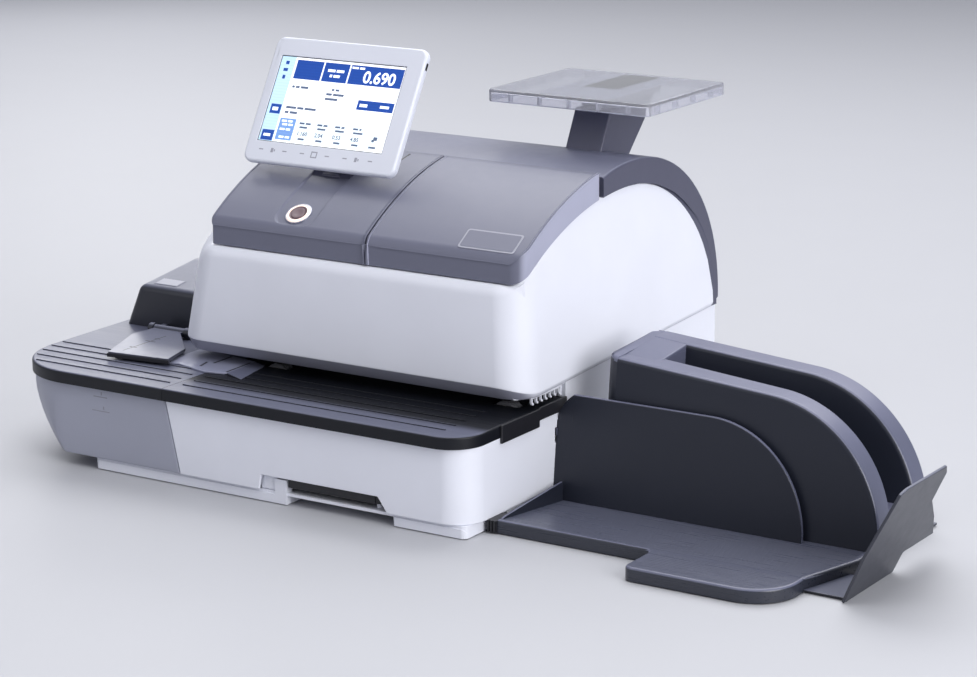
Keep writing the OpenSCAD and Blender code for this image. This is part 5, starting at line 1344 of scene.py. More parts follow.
@dataclass
class Display:
    """Tilting display on its foot."""

    centre: Point = (-239.5, 134.0, 256.613)
    lean: float = 60.0
    width: float = 158.0
    height: float = 116.0
    lcd_left: float = -69.0
    lcd_foot: float = 19.25
    lcd_width: float = 131.0
    lcd_height: float = 79.5
    face: float = -0.97
    tile_thick: float = 0.05
    tile_left: float = 0.275
    tile_pitch: float = 0.143
    mark_low: float = -0.02
    mark_high: float = 0.03

    def __post_init__(self) -> None:
        """Works out the display's own frame, which lies on its face."""
        self.frame = shift(*self.centre) @ turn("X", self.lean)
        self.inverse = self.frame.inverted()

    def build(self) -> None:
        """Builds and dresses the display's pieces."""
        Form.of_node("display_bezel").bevel(2.6, 4, self.outer_edge).bevel(0.4, 2).piece(
            "display_frame", "display", Finish.SILVER_PAINT, replaces=["display_bezel"])
        soften("display_back", "display_rear_case", "display", Finish.SILVER_PAINT, 1.4, 3,
               lambda p: (self.inverse @ p).z > -15.0)
        soften("display_foot", "display_bracket", "machine", Finish.ARCH_GREY, 0.8)
        soften("display_pin", "display_pin_rod", "machine", Finish.STEEL, 0.3)
        self.screen()
        self.keys()
        Form().box((78.7, 98.0, -5.6), (79.06, 104.5, -2.6), self.frame).bevel(0.15, 2).piece(
            "pen_hole", "display", Finish.BLACK_ABS)

    def outer_edge(self, p: Vector) -> bool:
        """Tells whether a point lies on the bezel's outer edges."""
        q = self.inverse @ p
        inside = abs(q.x) < self.width / 2 - 1 and 1 < q.y < self.height - 1
        return not inside or (abs(q.x) > 71 and not 10 < q.y < 106)

    def tile(self, form: Form, left: float, top: float, right: float, foot: float,
             layer: int) -> None:
        """Adds a thin screen tile.

        Args:
            form: the form that gets it.
            left, top, right, foot: its edges as shares of the screen, from the upper left corner.
            layer: how many tiles lie under it.
        """
        low = (self.lcd_left + left * self.lcd_width,
               self.lcd_foot + (1 - foot) * self.lcd_height, self.face + self.tile_thick * (layer - 1))
        high = (self.lcd_left + right * self.lcd_width,
                self.lcd_foot + (1 - top) * self.lcd_height, self.face + self.tile_thick * layer)
        form.box(low, high, self.frame)

    def screen(self) -> None:
        """Builds the screen: its lit ground and the plain tiles on it."""
        ground = Form.of_node("display_glass")
        ground.piece("lcd_panel", "display", Finish.LCD_WHITE, replaces=["display_glass"], flat=True)
        groups = {
            Finish.LCD_PALE: [(0.004, 0.006, 0.118, 0.994, 1)],
            Finish.LCD_BLUE: [(0.135, 0.035, 0.35, 0.255, 1), (0.362, 0.035, 0.56, 0.255, 1),
                              (0.572, 0.035, 0.99, 0.255, 1), (0.7, 0.425, 0.985, 0.535, 1),
                              (0.028, 0.565, 0.112, 0.675, 2), (0.018, 0.865, 0.114, 0.985, 2),
                              (0.045, 0.06, 0.072, 0.1, 2), (0.04, 0.145, 0.075, 0.18, 2),
                              (0.048, 0.225, 0.07, 0.27, 2)],
            Finish.LCD_MID: [(0.133, 0.715, 0.262, 0.965, 1)],
            Finish.LCD_TILE: [(left, 0.725, left + 0.13, 0.975, 1)
                              for left in (self.tile_left + self.tile_pitch * k for k in range(5))],
            Finish.LCD_INK: self.ink(),
            Finish.BLACK_ABS: [(0.0, 0.0, 1.0, 0.008, 3), (0.0, 0.992, 1.0, 1.0, 3),
                               (0.0, 0.008, 0.005, 0.992, 3), (0.995, 0.008, 1.0, 0.992, 3)],
            Finish.LCD_LINE: self.white_marks(),
        }
        for finish, tiles in groups.items():
            form = Form()
            for tile in tiles:
                self.tile(form, *tile)
            form.piece(f"screen_{finish.value.name}", "display", finish, flat=True)
        self.figures()

    @staticmethod
    def line(left: float, top: float, words: Sequence[float], tall: float, layer: int) -> list[Tile]:
        """Lists the bars that stand for the words of one line.

        Args:
            left: where the line starts, as a share of the screen.
            top: its upper edge.
            words: the words' lengths.
            tall: the bars' height.
            layer: how many tiles lie under it.

        Returns:
            The tiles' edges and layers.
        """
        tiles: list[Tile] = []
        for word in words:
            tiles.append((left, top, left + word, top + tall, layer))
            left += word + 0.01
        return tiles

    def ink(self) -> list[Tile]:
        """Lists the small grey bars that stand for lines of words."""
        bars = self.line(0.15, 0.335, (0.02, 0.03, 0.06), 0.026, 1)
        bars += self.line(0.47, 0.33, (0.02, 0.03), 0.024, 1)
        bars += self.line(0.435, 0.383, (0.045, 0.085), 0.026, 1)
        bars += self.line(0.435, 0.437, (0.1,), 0.026, 1)
        bars += self.line(0.15, 0.575, (0.08, 0.05, 0.09), 0.026, 1)
        bars += self.line(0.15, 0.632, (0.03, 0.06), 0.026, 1)
        for k in range(4):
            left = self.tile_left + 0.02 + self.tile_pitch * k
            bars += self.line(left, 0.745, (0.04, 0.04 - 0.008 * k), 0.022, 2)
            bars += self.line(left + 0.008, 0.79, (0.06 + 0.005 * k,), 0.022, 2)
            bars += self.line(left + 0.02, 0.925, (0.05,), 0.022, 2)
        bars += self.line(0.88, 0.93, (0.055,), 0.022, 2)
        bars += [(0.9, 0.82, 0.93, 0.86, 2), (0.89, 0.85, 0.91, 0.88, 2)]
        return bars

    def white_marks(self) -> list[Tile]:
        """Lists the white bars on the blue tiles."""
        bars = self.line(0.395, 0.11, (0.06, 0.06), 0.03, 2)
        bars += self.line(0.42, 0.17, (0.02, 0.05), 0.03, 2)
        bars += self.line(0.58, 0.055, (0.05, 0.04), 0.024, 2)
        bars += self.line(0.72, 0.465, (0.06,), 0.035, 2) + self.line(0.88, 0.465, (0.07,), 0.03, 2)
        bars += self.line(0.045, 0.6, (0.045,), 0.04, 3) + self.line(0.035, 0.91, (0.055,), 0.03, 3)
        for k, top in enumerate((0.735, 0.775, 0.83, 0.92)):
            bars += self.line(0.15 + 0.01 * (k % 2), top, (0.04, 0.035), 0.024, 2)
        return bars

    def figures(self) -> None:
        """Adds the plain amount shown in the largest tile and the tiles' small amounts."""
        form = Form()
        x = self.lcd_left + 0.685 * self.lcd_width
        y = self.lcd_foot + (1 - 0.225) * self.lcd_height
        form.words("0.690", 15.0, self.frame @ shift(x, y, self.face + 0.06))
        form.piece("amount_figures", "display", Finish.LCD_LINE, flat=True)
        small = Form()
        for k, amount in enumerate(("1.160", "2.04", "0.53", "4.85")):
            left = self.lcd_left + (self.tile_left + 0.02 + self.tile_pitch * k) * self.lcd_width
            foot = self.lcd_foot + (1 - 0.895) * self.lcd_height
            small.words(amount, 5.0, self.frame @ shift(left, foot, self.face + 0.06))
        small.piece("tile_figures", "display", Finish.LCD_INK, flat=True)

    def keys(self) -> None:
        """Adds the printed key marks under the screen: dashes, arrows and a square."""
        bars = [((u - 2.2, 11.0), (u + 2.2, 12.0)) for u in (-61.6, -36.7, -18.2, 8.0, 26.5, 52.7)]
        for u in (-49.0, 38.8):
            bars += [((u - 2.2, 9.4), (u + 0.4, 13.4)), ((u + 1.0, 10.4), (u + 2.2, 12.4))]
        bars += [((-8.8, 8.6), (-2.4, 9.6)), ((-8.8, 13.4), (-2.4, 14.4)),
                 ((-8.8, 9.6), (-7.8, 13.4)), ((-3.4, 9.6), (-2.4, 13.4))]
        form = Form()
        for low, high in bars:
            form.box((*low, self.mark_low), (*high, self.mark_high), self.frame)
        form.piece("key_marks", "display", Finish.LIP_GREY, flat=True)


@dataclass
class Scale:
    """Weighing platform on its column and load cell."""

    wall: float = 3.0
    seat_half: float = 36.0
    seat_inset: float = 8.0
    rib_inset: float = 22.0
    rib_half: float = 1.0
    rib_long: float = 5.0
    rib_deep: float = 7.0
    rib_gap: float = 0.1

    def build(self) -> None:
        """Builds and dresses the scale's pieces."""
        low, high = (TO_OUTLINE @ Vector(corner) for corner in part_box("weigh_platform"))
        soften("scale_column", "scale_column_moulding", "scale", Finish.ARCH_GREY, 1.6, 3)
        soften("platform_carrier", "platform_carrier_block", "scale", Finish.LIP_GREY, 0.8)
        plate = Form.of_node("weigh_platform").bevel(1.2, 3)
        # The platform's edge faces take the milkier copy of the acrylic, which paints the light they
        # gather
        plate.tint(1, lambda f: abs(f.normal.z) < 0.9)
        plate.piece("weigh_platform_plate", "scale", Finish.ACRYLIC, Finish.ACRYLIC_EDGE,
                    replaces=["weigh_platform"])
        self.underside(low, high)
        soften("scale_post", "scale_post_sheet", "machine", Finish.ZINC, 0.5)
        soften("load_cell", "load_cell_beam", "scale", Finish.ALLOY, 0.5)

    def underside(self, low: Vector, high: Vector) -> None:
        """Adds the seat plate and the clear ribs under the platform.

        Args:
            low: the platform's lowest corner.
            high: its highest corner.
        """
        middle = (low.x + high.x) / 2
        z = high.z - self.wall
        Form().box((middle - self.seat_half, low.y + self.seat_inset, z - 1.2),
                   (middle + self.seat_half, high.y - self.seat_inset, z - 0.2)).bevel(0.4, 2).piece(
                       "platform_seat_plate", "scale", Finish.SILVER_PAINT)
        ribs = Form()
        near, far = self.wall + self.rib_gap, self.wall + self.rib_gap + self.rib_long
        for k in range(5):
            x = low.x + self.rib_inset + (high.x - low.x - 2 * self.rib_inset) * k / 4
            for y0, y1 in ((low.y + near, low.y + far), (high.y - far, high.y - near)):
                ribs.box((x - self.rib_half, y0, z - self.rib_deep), (x + self.rib_half, y1, z))
        for k in range(4):
            y = low.y + self.rib_inset + (high.y - low.y - 2 * self.rib_inset) * k / 3
            for x0, x1 in ((low.x + near, low.x + far), (high.x - far, high.x - near)):
                ribs.box((x0, y - self.rib_half, z - self.rib_deep), (x1, y + self.rib_half, z))
        ribs.bevel(0.3, 2).piece("platform_ribs", "scale", Finish.ACRYLIC_EDGE)


@dataclass
class Transport:
    """Transport of the mail path: chassis, rollers, gears, belt and pressure carriage."""

    entry_x: float = -262.0
    exit_x: float = -30.0
    drive_z: float = 103.3
    drive_r: float = 15.0
    drive_bore: float = 4.0
    press_z: float = 75.0
    press_r: float = 13.0
    press_bore: float = 3.0
    rows: Pair = (103.0, 128.7)
    roller_w: float = 12.0
    spring_x: Pair = (-200.0, -125.0)
    spring_y: float = 121.85
    spring_low: float = 11.0
    spring_high: float = 48.0
    spring_r: float = 5.8
    spring_turns: float = 6.5
    wire: float = 1.1
    drop: float = 8.0
    motor: Point = (-250.0, 176.0, 124.1)

    def build(self) -> None:
        """Builds and dresses the transport's pieces."""
        for node, finish in (("chassis", Finish.ZINC), ("shaft_bushes", Finish.BRONZE),
                             ("drive_gear", Finish.IVORY_POM), ("motor_pinion", Finish.IVORY_POM),
                             ("transport_belt", Finish.RUBBER), ("pressure_carriage", Finish.ZINC)):
            dress(node, finish)
        for end, x in (("entry", self.entry_x), ("exit", self.exit_x)):
            soften(f"{end}_drive_shaft", f"{end}_drive_spindle", f"{end}_drive", Finish.STEEL, 0.4)
            soften(f"{end}_pressure_axle", f"{end}_pressure_spindle", f"{end}_press", Finish.STEEL, 0.4)
            self.rollers(f"{end}_drive_tyres", f"{end}_drive", f"{end}_drive_rollers", x,
                         self.drive_z, self.drive_r, self.drive_bore, Finish.RUBBER)
            self.rollers(f"{end}_pressure_tyres", f"{end}_press", f"{end}_pressure_rollers", x,
                         self.press_z, self.press_r, self.press_bore, Finish.GREY_RUBBER)
        self.feed_motor()
        self.springs()

    def rollers(self, name: str, body: str, node: str, x: float, z: float, r: float, bore: float,
                tread: Finish) -> None:
        """Turns a pair of rollers: grooved rubber tyres on pale hubs.

        Args:
            name: the piece's name.
            body: the body that it rides on.
            node: the CAD node that it replaces.
            x, z: the axle's place.
            r: the tyre's radius.
            bore: the hub's bore.
            tread: the tyre's finish.
        """
        half = [(bore, 0.0), (bore + 2.2, 0.0), (bore + 2.4, 1.0), (r - 3.6, 1.0), (r - 3.4, 0.0),
                (r - 0.8, 0.0), (r, 0.8), (r, 3.2), (r - 0.6, 3.6), (r - 0.6, 4.1), (r, 4.5), (r, 6.0)]
        profile = half + [(radius, self.roller_w - along) for radius, along in reversed(half[:-1])]
        form = Form()
        for y in self.rows:
            form.lathe([*profile, profile[0]], shift(x, y, z) @ turn("X", -90.0))
        axle = Vector((x, z))
        form.tint(1, lambda f: (Vector((f.calc_center_median().x, f.calc_center_median().z))
                                - axle).length < r - 3.45)
        form.piece(name, body, tread, Finish.IVORY_POM, replaces=[node])

    def feed_motor(self) -> None:
        """Turns the feed motor's can, with a rolled seam, an end cap and two terminals."""
        place = shift(*self.motor) @ turn("X", -90.0)
        form = Form().lathe([(0.0, 9.0), (7.2, 9.0), (7.2, 0.0), (15.6, 0.0), (17.0, 1.2), (17.0, 8.0),
                             (16.5, 8.4), (16.5, 9.2), (17.0, 9.6), (17.0, 33.0), (16.4, 34.0),
                             (15.2, 34.4), (15.2, 37.4), (14.4, 38.2), (5.0, 38.2), (4.4, 39.0),
                             (0.0, 39.0)], place)
        form.tint(1, lambda f: f.calc_center_median().y > self.motor[1] + 34.2)
        for x in (-10.0, 10.0):
            form.box((x - 1.6, -0.4, 37.0), (x + 1.6, 0.4, 40.0), place)
        form.piece("feed_motor_can", "machine", Finish.ZINC, Finish.BLACK_ABS, replaces=["feed_motor"])

    def springs(self) -> None:
        """Winds the two springs that press the carriage up, and gives them a mesh of their own."""
        form = Form()
        steps = int(24 * self.spring_turns)
        rise = self.spring_high - self.spring_low - 2 * self.wire
        for x in self.spring_x:
            place = shift(x + self.spring_r, self.spring_y, self.spring_low + self.wire)
            start = bmesh.ops.create_circle(form.bm, cap_ends=True, segments=8, radius=self.wire,
                                            matrix=place @ turn("X", -90.0))["verts"]
            edges = {edge for vert in start for edge in vert.link_edges}
            coil = bmesh.ops.spin(form.bm, geom=[*start, *edges], cent=(x, self.spring_y, 0.0),
                                  axis=(0, 0, 1), dvec=(0, 0, rise / steps),
                                  angle=math.tau * self.spring_turns, steps=steps)
            bmesh.ops.contextual_create(form.bm, geom=coil["geom_last"])
        bmesh.ops.recalc_face_normals(form.bm, faces=form.bm.faces)
        piece = form.piece("pressure_coils", "machine", Finish.STEEL, replaces=["pressure_springs"])
        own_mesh(piece)


@dataclass
class PrintUnit:
    """Print carriage, cartridge and wiper."""

    left: float = -143.0
    right: float = -107.0
    front: float = 103.5
    rear: float = 142.2
    low: float = 134.0
    high: float = 186.0

    def build(self) -> None:
        """Builds and dresses the print unit's pieces."""
        soften("guide_rods", "print_guide_rods", "machine", Finish.STEEL, 0.5)
        soften("wiper_station", "wiper_blades", "machine", Finish.GREY_RUBBER, 0.2)
        soften("print_carriage", "print_carriage_moulding", "print_head", Finish.CHARCOAL, 0.8)
        self.cartridge()

    def cartridge(self) -> None:
        """Builds the cartridge: a case, a grip cap with ribs and a bare plate."""
        case = Form().box((self.left, self.front + 1.0, self.low),
                          (self.right, self.rear, self.high - 9.0)).bevel(1.8, 4)
        case.box((self.left + 3.0, self.front + 4.0, self.low),
                 (self.right - 3.0, self.rear - 3.0, self.low + 2.0))
        case.piece("ink_cartridge_case", "print_head", Finish.INK_BLUE, replaces=["ink_cartridge"])
        cap = Form().box((self.left + 0.8, self.front + 1.8, self.high - 9.4),
                         (self.right - 0.8, self.rear - 0.8, self.high - 1.0)).bevel(2.2, 4)
        ribs = Form()
        for k in range(6):
            y = self.front + 8.0 + 4.4 * k
            ribs.box((self.left + 6.0, y, self.high - 1.4), (self.right - 6.0, y + 1.8, self.high))
        cap.join(ribs.bevel(0.5, 2)).piece("ink_cartridge_cap", "print_head", Finish.LIP_GREY)
        Form().box((self.left + 5.0, self.front + 0.6, self.low + 10.0),
                   (self.right - 5.0, self.front + 1.6, self.high - 16.0)).bevel(0.3, 2).piece(
                       "ink_cartridge_plate", "print_head", Finish.LIP_GREY)


@dataclass
class Electronics:
    """Main board and power supply inside the base."""

    board_top: float = 19.6
    supply: tuple[Point, Point] = ((-282.0, 240.0, 11.0), (-212.0, 404.0, 53.0))

    def build(self) -> None:
        """Builds and dresses the electronics."""
        dress("main_board", Finish.BOARD)
        chips = Form()
        for x, y, wide, long, tall in ((-62.0, 312.0, 22.0, 22.0, 2.6), (-34.0, 306.0, 12.0, 18.0, 2.4),
                                       (-60.0, 346.0, 14.0, 10.0, 2.0), (-38.0, 338.0, 16.0, 8.0, 2.0),
                                       (-136.0, 364.0, 18.0, 12.0, 2.2),
                                       (-40.0, 362.0, 20.0, 14.0, 5.0)):
            chips.box((x, y, self.board_top - 0.1), (x + wide, y + long, self.board_top + tall))
        chips.bevel(0.3, 2).piece("board_chips", "machine", Finish.BLACK_ABS)
        cans = Form()
        for x, y, r, tall in ((-132.0, 304.0, 4.0, 11.0), (-122.0, 304.0, 4.0, 11.0),
                              (-130.0, 316.0, 5.0, 14.0), (-24.0, 334.0, 3.2, 8.0),
                              (-24.0, 344.0, 3.2, 8.0)):
            cans.lathe([(0.0, 0.0), (r - 0.3, 0.0), (r, 0.4), (r, 1.6), (r - 0.4, 2.0), (r, 2.4),
                        (r, tall - 0.5), (r - 0.5, tall), (r - 0.9, tall - 0.2), (0.0, tall - 0.2)],
                       shift(x, y, self.board_top - 0.1), 20)
        cans.piece("board_capacitors", "machine", Finish.NICKEL)
        self.case()

    def case(self) -> None:
        """Builds the power supply's sheet case with its louvres and lid screws."""
        (x0, y0, z0), (x1, y1, z1) = self.supply
        form = Form().box((x0, y0, z0), (x1, y1, z1 - 0.8)).bevel(1.4, 3)
        louvres = Form()
        for k in range(14):
            y = y0 + 40.0 + 6.0 * k
            louvres.box((x0 + 16.0, y, z1 - 1.2), (x1 - 16.0, y + 2.6, z1))
        form.join(louvres.bevel(0.7, 3))
        for y in (y0 + 6.0, y1 - 6.0):
            for x in (x0 + 6.0, x1 - 6.0):
                form.lathe([(0.0, -0.4), (3.0, -0.4), (3.0, 0.2), (2.2, 0.7), (0.0, 0.8)],
                           shift(x, y, z1 - 0.8), 20)
        form.piece("power_supply_case", "machine", Finish.ZINC, replaces=["power_supply"])


@dataclass
class CatchTray:
    """Catch tray with its liner, wall and sliding end stop."""

    lean: float = 0.11
    wall_x: float = 49.0
    wall_y: float = 137.0
    wall_h: float = 125.0
    arch: float = 25.0
    depth: float = 85.0
    slot_x: float = 80.0
    step_y: float = 31.0
    liner_y: float = 129.0
    rim: float = 12.0
    low: float = 2.6
    line_pitch: float = 3.4
    line_half: float = 0.4
    line_sunk: float = 0.2
    line_tall: float = 0.14
    web_x: float = 8.0
    end_rise: float = 4.6
    fall: float = 0.078
    wall_round: float = 3.4

    def build(self) -> None:
        """Builds and dresses the tray's pieces."""
        floor = Form.of_node("tray_floor").bevel(2.6, 4, lambda p: p.z > 11.5 and p.y < 31.5)
        # The floor's rounded front rim takes the paler grey: a painted highlight
        floor.tint(1, lambda f: 0.45 < f.normal.z < 0.97 and f.calc_center_median().y < 36.0)
        floor.piece("tray_floor_moulding", "machine", Finish.TRAY_DARK, Finish.BAND_PAINTED_SHEEN,
                    replaces=["tray_floor"])
        self.floor_ribs()
        self.floor_rim()
        self.side_web()
        liner = Form.of_node("tray_liner").bevel(1.1, 3, lambda p: p.x > 1.0 and p.z > 4.0)
        # The liner's upper edges take the paler grey: a painted highlight
        liner.tint(1, lambda f: abs(f.normal.y) < 0.6 and f.normal.z > -0.3)
        liner.piece("tray_liner_sheet", "machine", Finish.CHARCOAL, Finish.BAND_PAINTED_SHEEN,
                    replaces=["tray_liner"])
        self.gusset()
        wall = Form.of_node("tray_wall").bevel(self.wall_round, 4, self.wall_edge, convex=True)
        # The wall's tops and ends take the paler grey: a painted sheen
        wall.tint(1, lambda f: abs(f.normal.y) < 0.75 and f.normal.z > -0.2 and f.normal.x > -0.5
                  and f.calc_center_median().z > 8.0)
        wall.piece("tray_wall_moulding", "machine", Finish.CHARCOAL, Finish.BAND_PAINTED_SHEEN,
                   replaces=["tray_wall"])
        self.bridge()
        self.wall_end()
        soften("end_stop", "end_stop_plate", "stop", Finish.STOP_GREY, 0.6)

    def wall_edge(self, p: Vector) -> bool:
        """Tells whether a point lies on the tray wall's outer upper edges."""
        y = p.y - self.lean * p.z - self.wall_y
        planes = (0.0, self.depth)
        if p.z > 31.0:
            planes += (self.arch, self.depth - self.arch)
        return (p.z > 8.0 and p.x > self.wall_x + 0.5
                and min(abs(y - plane) for plane in planes) < 0.45)

    def floor_z(self, y: float) -> float:
        """Gives the floor's height at a depth."""
        if y < self.step_y:
            return self.rim
        return self.rim + (self.low - self.rim) * (y - self.step_y) / (self.liner_y - self.step_y)

    def floor_ribs(self) -> None:
        """Adds the fine sliding lines along the tray floor."""
        form = Form()
        slope = math.degrees(math.atan2(self.low - self.rim, self.liner_y - self.step_y))
        for k in range(26):
            y = 37.0 + self.line_pitch * k
            place = shift(0, y, self.floor_z(y)) @ turn("X", slope)
            form.box((14.0, -self.line_half, -self.line_sunk),
                     (284.0 if k > 8 else 276.0, self.line_half, self.line_tall), place)
        for k in range(11):
            place = shift(0, -8.0 + self.line_pitch * k, self.rim)
            form.box((158.0, -self.line_half, -self.line_sunk),
                     (272.0 - 12.0 * max(0, 4 - k) / 4, self.line_half, self.line_tall), place)
        form.bevel(0.12, 1, lambda p: p.z > 2.0).piece("tray_floor_lines", "machine", Finish.TRAY_DARK)

    def floor_rim(self) -> None:
        """Adds the raised rim along the floor's flared right edge."""
        outline = [(274.0, 30.4), (281.0, 30.4), (298.0, 92.0), (298.0, 124.0), (291.5, 124.0),
                   (291.5, 93.0)]
        Form().prism(outline, self.rim - 3.4, shift(0, 0, 3.4)).bevel(
            2.6, 4, lambda p: p.z > self.rim - 0.1 and p.y > 31.0).piece(
                "tray_floor_rim", "machine", Finish.TRAY_DARK)

    def side_web(self) -> None:
        """Adds the low web along the floor's left edge and the ribbed hook that holds it to the base."""
        outline = [(34.5, 1.2), (self.liner_y, 1.2), (self.liner_y, 19.0), (40.0, 12.9), (35.5, 11.8)]
        Form().prism(outline, 2.4, upright(self.web_x)).bevel(0.6, 2).piece(
            "tray_side_web", "machine", Finish.CHARCOAL)
        hook = Form().box((-0.8, 29.5, 1.4), (8.2, 52.0, 11.4))
        for k in range(3):
            hook.box((0.2 + 2.9 * k, 28.3, 1.4), (1.6 + 2.9 * k, 30.0, 11.4))
        hook.bevel(0.45, 2).piece("tray_hook", "machine", Finish.BLACK_ABS)

    def gusset(self) -> None:
        """Fills the liner's left end with a curved shoulder towards the base."""
        curve = [(0.6 + 13.4 * (k / 10) ** 2.2, 68.5 + 22.6 * k / 10) for k in range(11)]
        outline = [(0.6, 60.0)] + curve + [(15.0, 91.1), (15.0, 60.0)]
        tilt = Matrix(((1, 0, 0, 0), (0, self.lean, 1, self.liner_y + 0.05), (0, 1, 0, 0), (0, 0, 0, 1)))
        Form().prism(outline, 3.8, tilt).bevel(0.8, 2).piece(
            "liner_shoulder", "machine", Finish.CHARCOAL)

    def wall_end(self) -> None:
        """Adds the tray wall's left end, with chamfered corners."""
        half = [(self.wall_x, 0.0), (45.0, 1.4), (41.5, 3.8), (38.6, 7.5), (37.6, 11.0)]
        outline = half + [(x, self.depth - y) for x, y in reversed(half)]
        points = []
        for x, y in outline:
            rise = self.end_rise * min(max((y - 13.0) / 50.0, 0.0), 1.0)
            high = self.wall_h + rise + self.fall * (self.wall_x - x)
            points += [(x, self.wall_y + self.lean * z + y, z) for z in (2.8, high)]
        form = Form().hull(points)
        form.bevel(self.wall_round, 4, lambda p: p.z > self.wall_h - 7.0 and p.x < self.wall_x - 0.2)
        # Its tops take the paler grey: a painted sheen
        form.tint(1, lambda f: f.normal.z > 0.3 or f.normal.x > 0.9)
        form.piece("tray_wall_end", "machine", Finish.CHARCOAL, Finish.BAND_PAINTED_SHEEN)

    def bridge(self) -> None:
        """Ramps the tray wall's left end up from its front arch to its rear one."""
        drop = self.fall * (self.slot_x - self.wall_x)
        front = self.wall_y + self.arch + self.lean * self.wall_h - 12.0
        rear = self.wall_y + self.depth - self.arch + self.lean * self.wall_h + 3.0
        points = []
        for x, fall in ((self.wall_x + 0.1, 0.0), (self.slot_x - 0.1, drop)):
            points += [(x, front, self.wall_h - fall - 2.0), (x, front, self.wall_h - fall - 0.2),
                       (x, rear, self.wall_h - fall - 2.0),
                       (x, rear, self.wall_h - fall + self.end_rise)]
        form = Form().hull(points)
        form.bevel(1.6, 3, lambda p: p.z > self.wall_h - 3.0 and p.x > self.wall_x + 1.0)
        # The bridge is all in the paler grey of painted sheen
        form.piece("tray_wall_bridge", "machine", Finish.BAND_PAINTED_SHEEN)


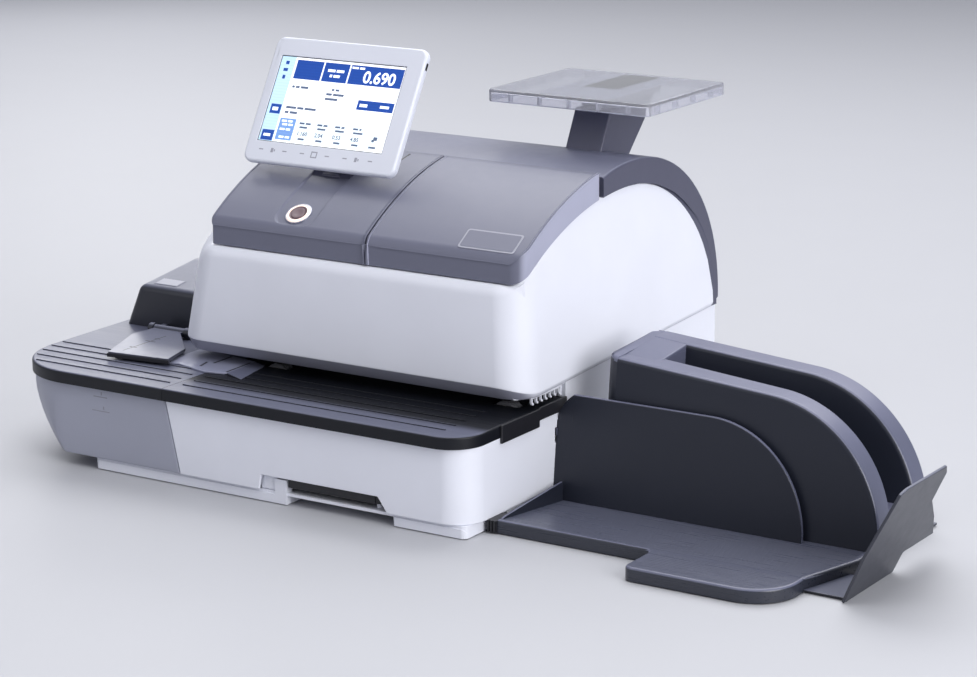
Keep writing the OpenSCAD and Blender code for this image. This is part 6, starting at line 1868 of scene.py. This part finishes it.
@dataclass
class Studio:
    """Floor, light and camera."""

    azimuth: float = 32.6
    elevation: float = 14.2
    roll: float = 0.28
    focal_px: float = 2940.0
    place: Point = (1212.2, -1863.4, 729.8)
    floor_half: float = 7.0
    sky: str = "#E4E7F5"
    sky_front: float = 0.22
    sky_rear: float = 0.6
    sky_seen: float = 0.5

    def build(self) -> None:
        """Builds the stage."""
        self.floor()
        self.world()
        self.lamp("key_right", (2.5, -0.8, 1.1), (0.1, 0.0, 0.12), (1.8, 1.8), 60.0)
        self.lamp("top_back", (-0.5, 1.3, 2.2), (0.0, 0.05, 0.1), (3.0, 2.0), 60.0)
        self.lamp("rear_glow", (-1.6, 2.6, 1.0), (0.0, 0.0, 0.2), (4.2, 1.5), 6.0)
        self.lamp("deck_glow", (-2.25, 2.1, 0.85), (-0.37, -0.12, 0.085), (0.7, 0.5), 6.0)
        self.lamp("top_front", (0.3, -0.9, 2.4), (0.0, 0.0, 0.12), (2.2, 1.4), 24.0)
        self.lamp("front_fill", (-1.2, -2.4, 1.3), (0.0, 0.0, 0.12), (2.0, 1.6), 8.0)
        self.camera()

    def floor(self) -> None:
        """Makes the pale floor, wide enough to fill the picture behind the machine."""
        bm = bmesh.new()
        bmesh.ops.create_grid(bm, x_segments=1, y_segments=1, size=self.floor_half)
        mesh = bpy.data.meshes.new("floor")
        bm.to_mesh(mesh)
        bm.free()
        floor = bpy.data.objects.new("floor", mesh)
        bpy.context.scene.collection.objects.link(floor)
        material, tree, shader, place = new_material("pale_floor_card", {"Roughness": 0.6})
        tooth = add(tree, "ShaderNodeTexNoise", {"Scale": per_mm(90.0), "Detail": 2.0},
                    {"Vector": place})
        mottle_colour(tree, shader, "#B2B3B8", 0.01, tooth)
        mesh.materials.append(material)

    def world(self) -> None:
        """Sets the surroundings: even where they are seen, and as light brighter from behind."""
        world = bpy.data.worlds.new("studio")
        bpy.context.scene.world = world
        world.use_nodes = True
        tree = world.node_tree
        tree.nodes.clear()
        path = add(tree, "ShaderNodeLightPath", {})
        sight = path.outputs["Is Camera Ray"]
        for kind in ("Is Glossy Ray", "Is Transmission Ray"):
            sight = add(tree, "ShaderNodeMath", {"operation": "MAXIMUM"},
                        {0: sight, 1: path.outputs[kind]}).outputs[0]
        seen = add(tree, "ShaderNodeBackground",
                   {"Color": linear(self.sky), "Strength": self.sky_seen})
        place = add(tree, "ShaderNodeTexCoord", {})
        split = add(tree, "ShaderNodeSeparateXYZ", {}, {"Vector": place.outputs["Generated"]})
        glow = add(tree, "ShaderNodeMapRange",
                   {"From Min": -0.7, "From Max": 0.6, "To Min": self.sky_front,
                    "To Max": self.sky_rear}, {"Value": split.outputs["Y"]})
        around = add(tree, "ShaderNodeBackground", {"Color": linear(self.sky)},
                     {"Strength": glow.outputs[0]})
        mix = add(tree, "ShaderNodeMixShader", {},
                  {0: sight, 1: around.outputs[0], 2: seen.outputs[0]})
        add(tree, "ShaderNodeOutputWorld", {}, {"Surface": mix.outputs[0]})

    def lamp(self, name: str, place: Point, aim: Point, size: Pair, power: float) -> None:
        """Adds a soft panel lamp.

        Args:
            name: the lamp's name.
            place: where it hangs, in metres.
            aim: the point that it faces.
            size: its width and height in metres.
            power: its power in watts.
        """
        light = bpy.data.lights.new(name, "AREA")
        light.shape = "RECTANGLE"
        light.size, light.size_y = size
        light.energy = power
        lamp = bpy.data.objects.new(name, light)
        lamp.location = place
        lamp.rotation_mode = "QUATERNION"
        lamp.rotation_quaternion = (Vector(aim) - Vector(place)).to_track_quat("-Z", "Y")
        bpy.context.scene.collection.objects.link(lamp)

    def camera(self) -> None:
        """Sets the camera at the photograph's viewing angle."""
        azimuth, elevation = math.radians(self.azimuth), math.radians(self.elevation)
        back = Vector((math.sin(azimuth) * math.cos(elevation),
                       -math.cos(azimuth) * math.cos(elevation), math.sin(elevation)))
        right = Vector((math.cos(azimuth), math.sin(azimuth), 0.0))
        up = back.cross(right)
        data = bpy.data.cameras.new("camera")
        data.sensor_width = 36.0
        data.lens = self.focal_px / IMAGE_WIDTH * data.sensor_width
        camera = bpy.data.objects.new("camera", data)
        bpy.context.scene.collection.objects.link(camera)
        axes = Matrix((right, up, back)).transposed().to_4x4()
        camera.matrix_world = (Matrix.Translation(TO_ROW @ Vector(self.place)) @ axes
                               @ turn("Z", -self.roll))
        bpy.context.scene.camera = camera


def main() -> None:
    logging.basicConfig(level=logging.INFO, format="%(name)s: %(message)s")
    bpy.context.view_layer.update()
    bpy.context.scene.view_settings.view_transform = "Standard"
    Studio().build()
    Base().build()
    SealerEnd().build()
    housing = Housing()
    housing.build()
    covers = TopCovers(housing)
    covers.build()
    StartButton().build(covers)
    Display().build()
    Scale().build()
    Transport().build()
    PrintUnit().build()
    Electronics().build()
    CatchTray().build()


if __name__ == "__main__":
    main()
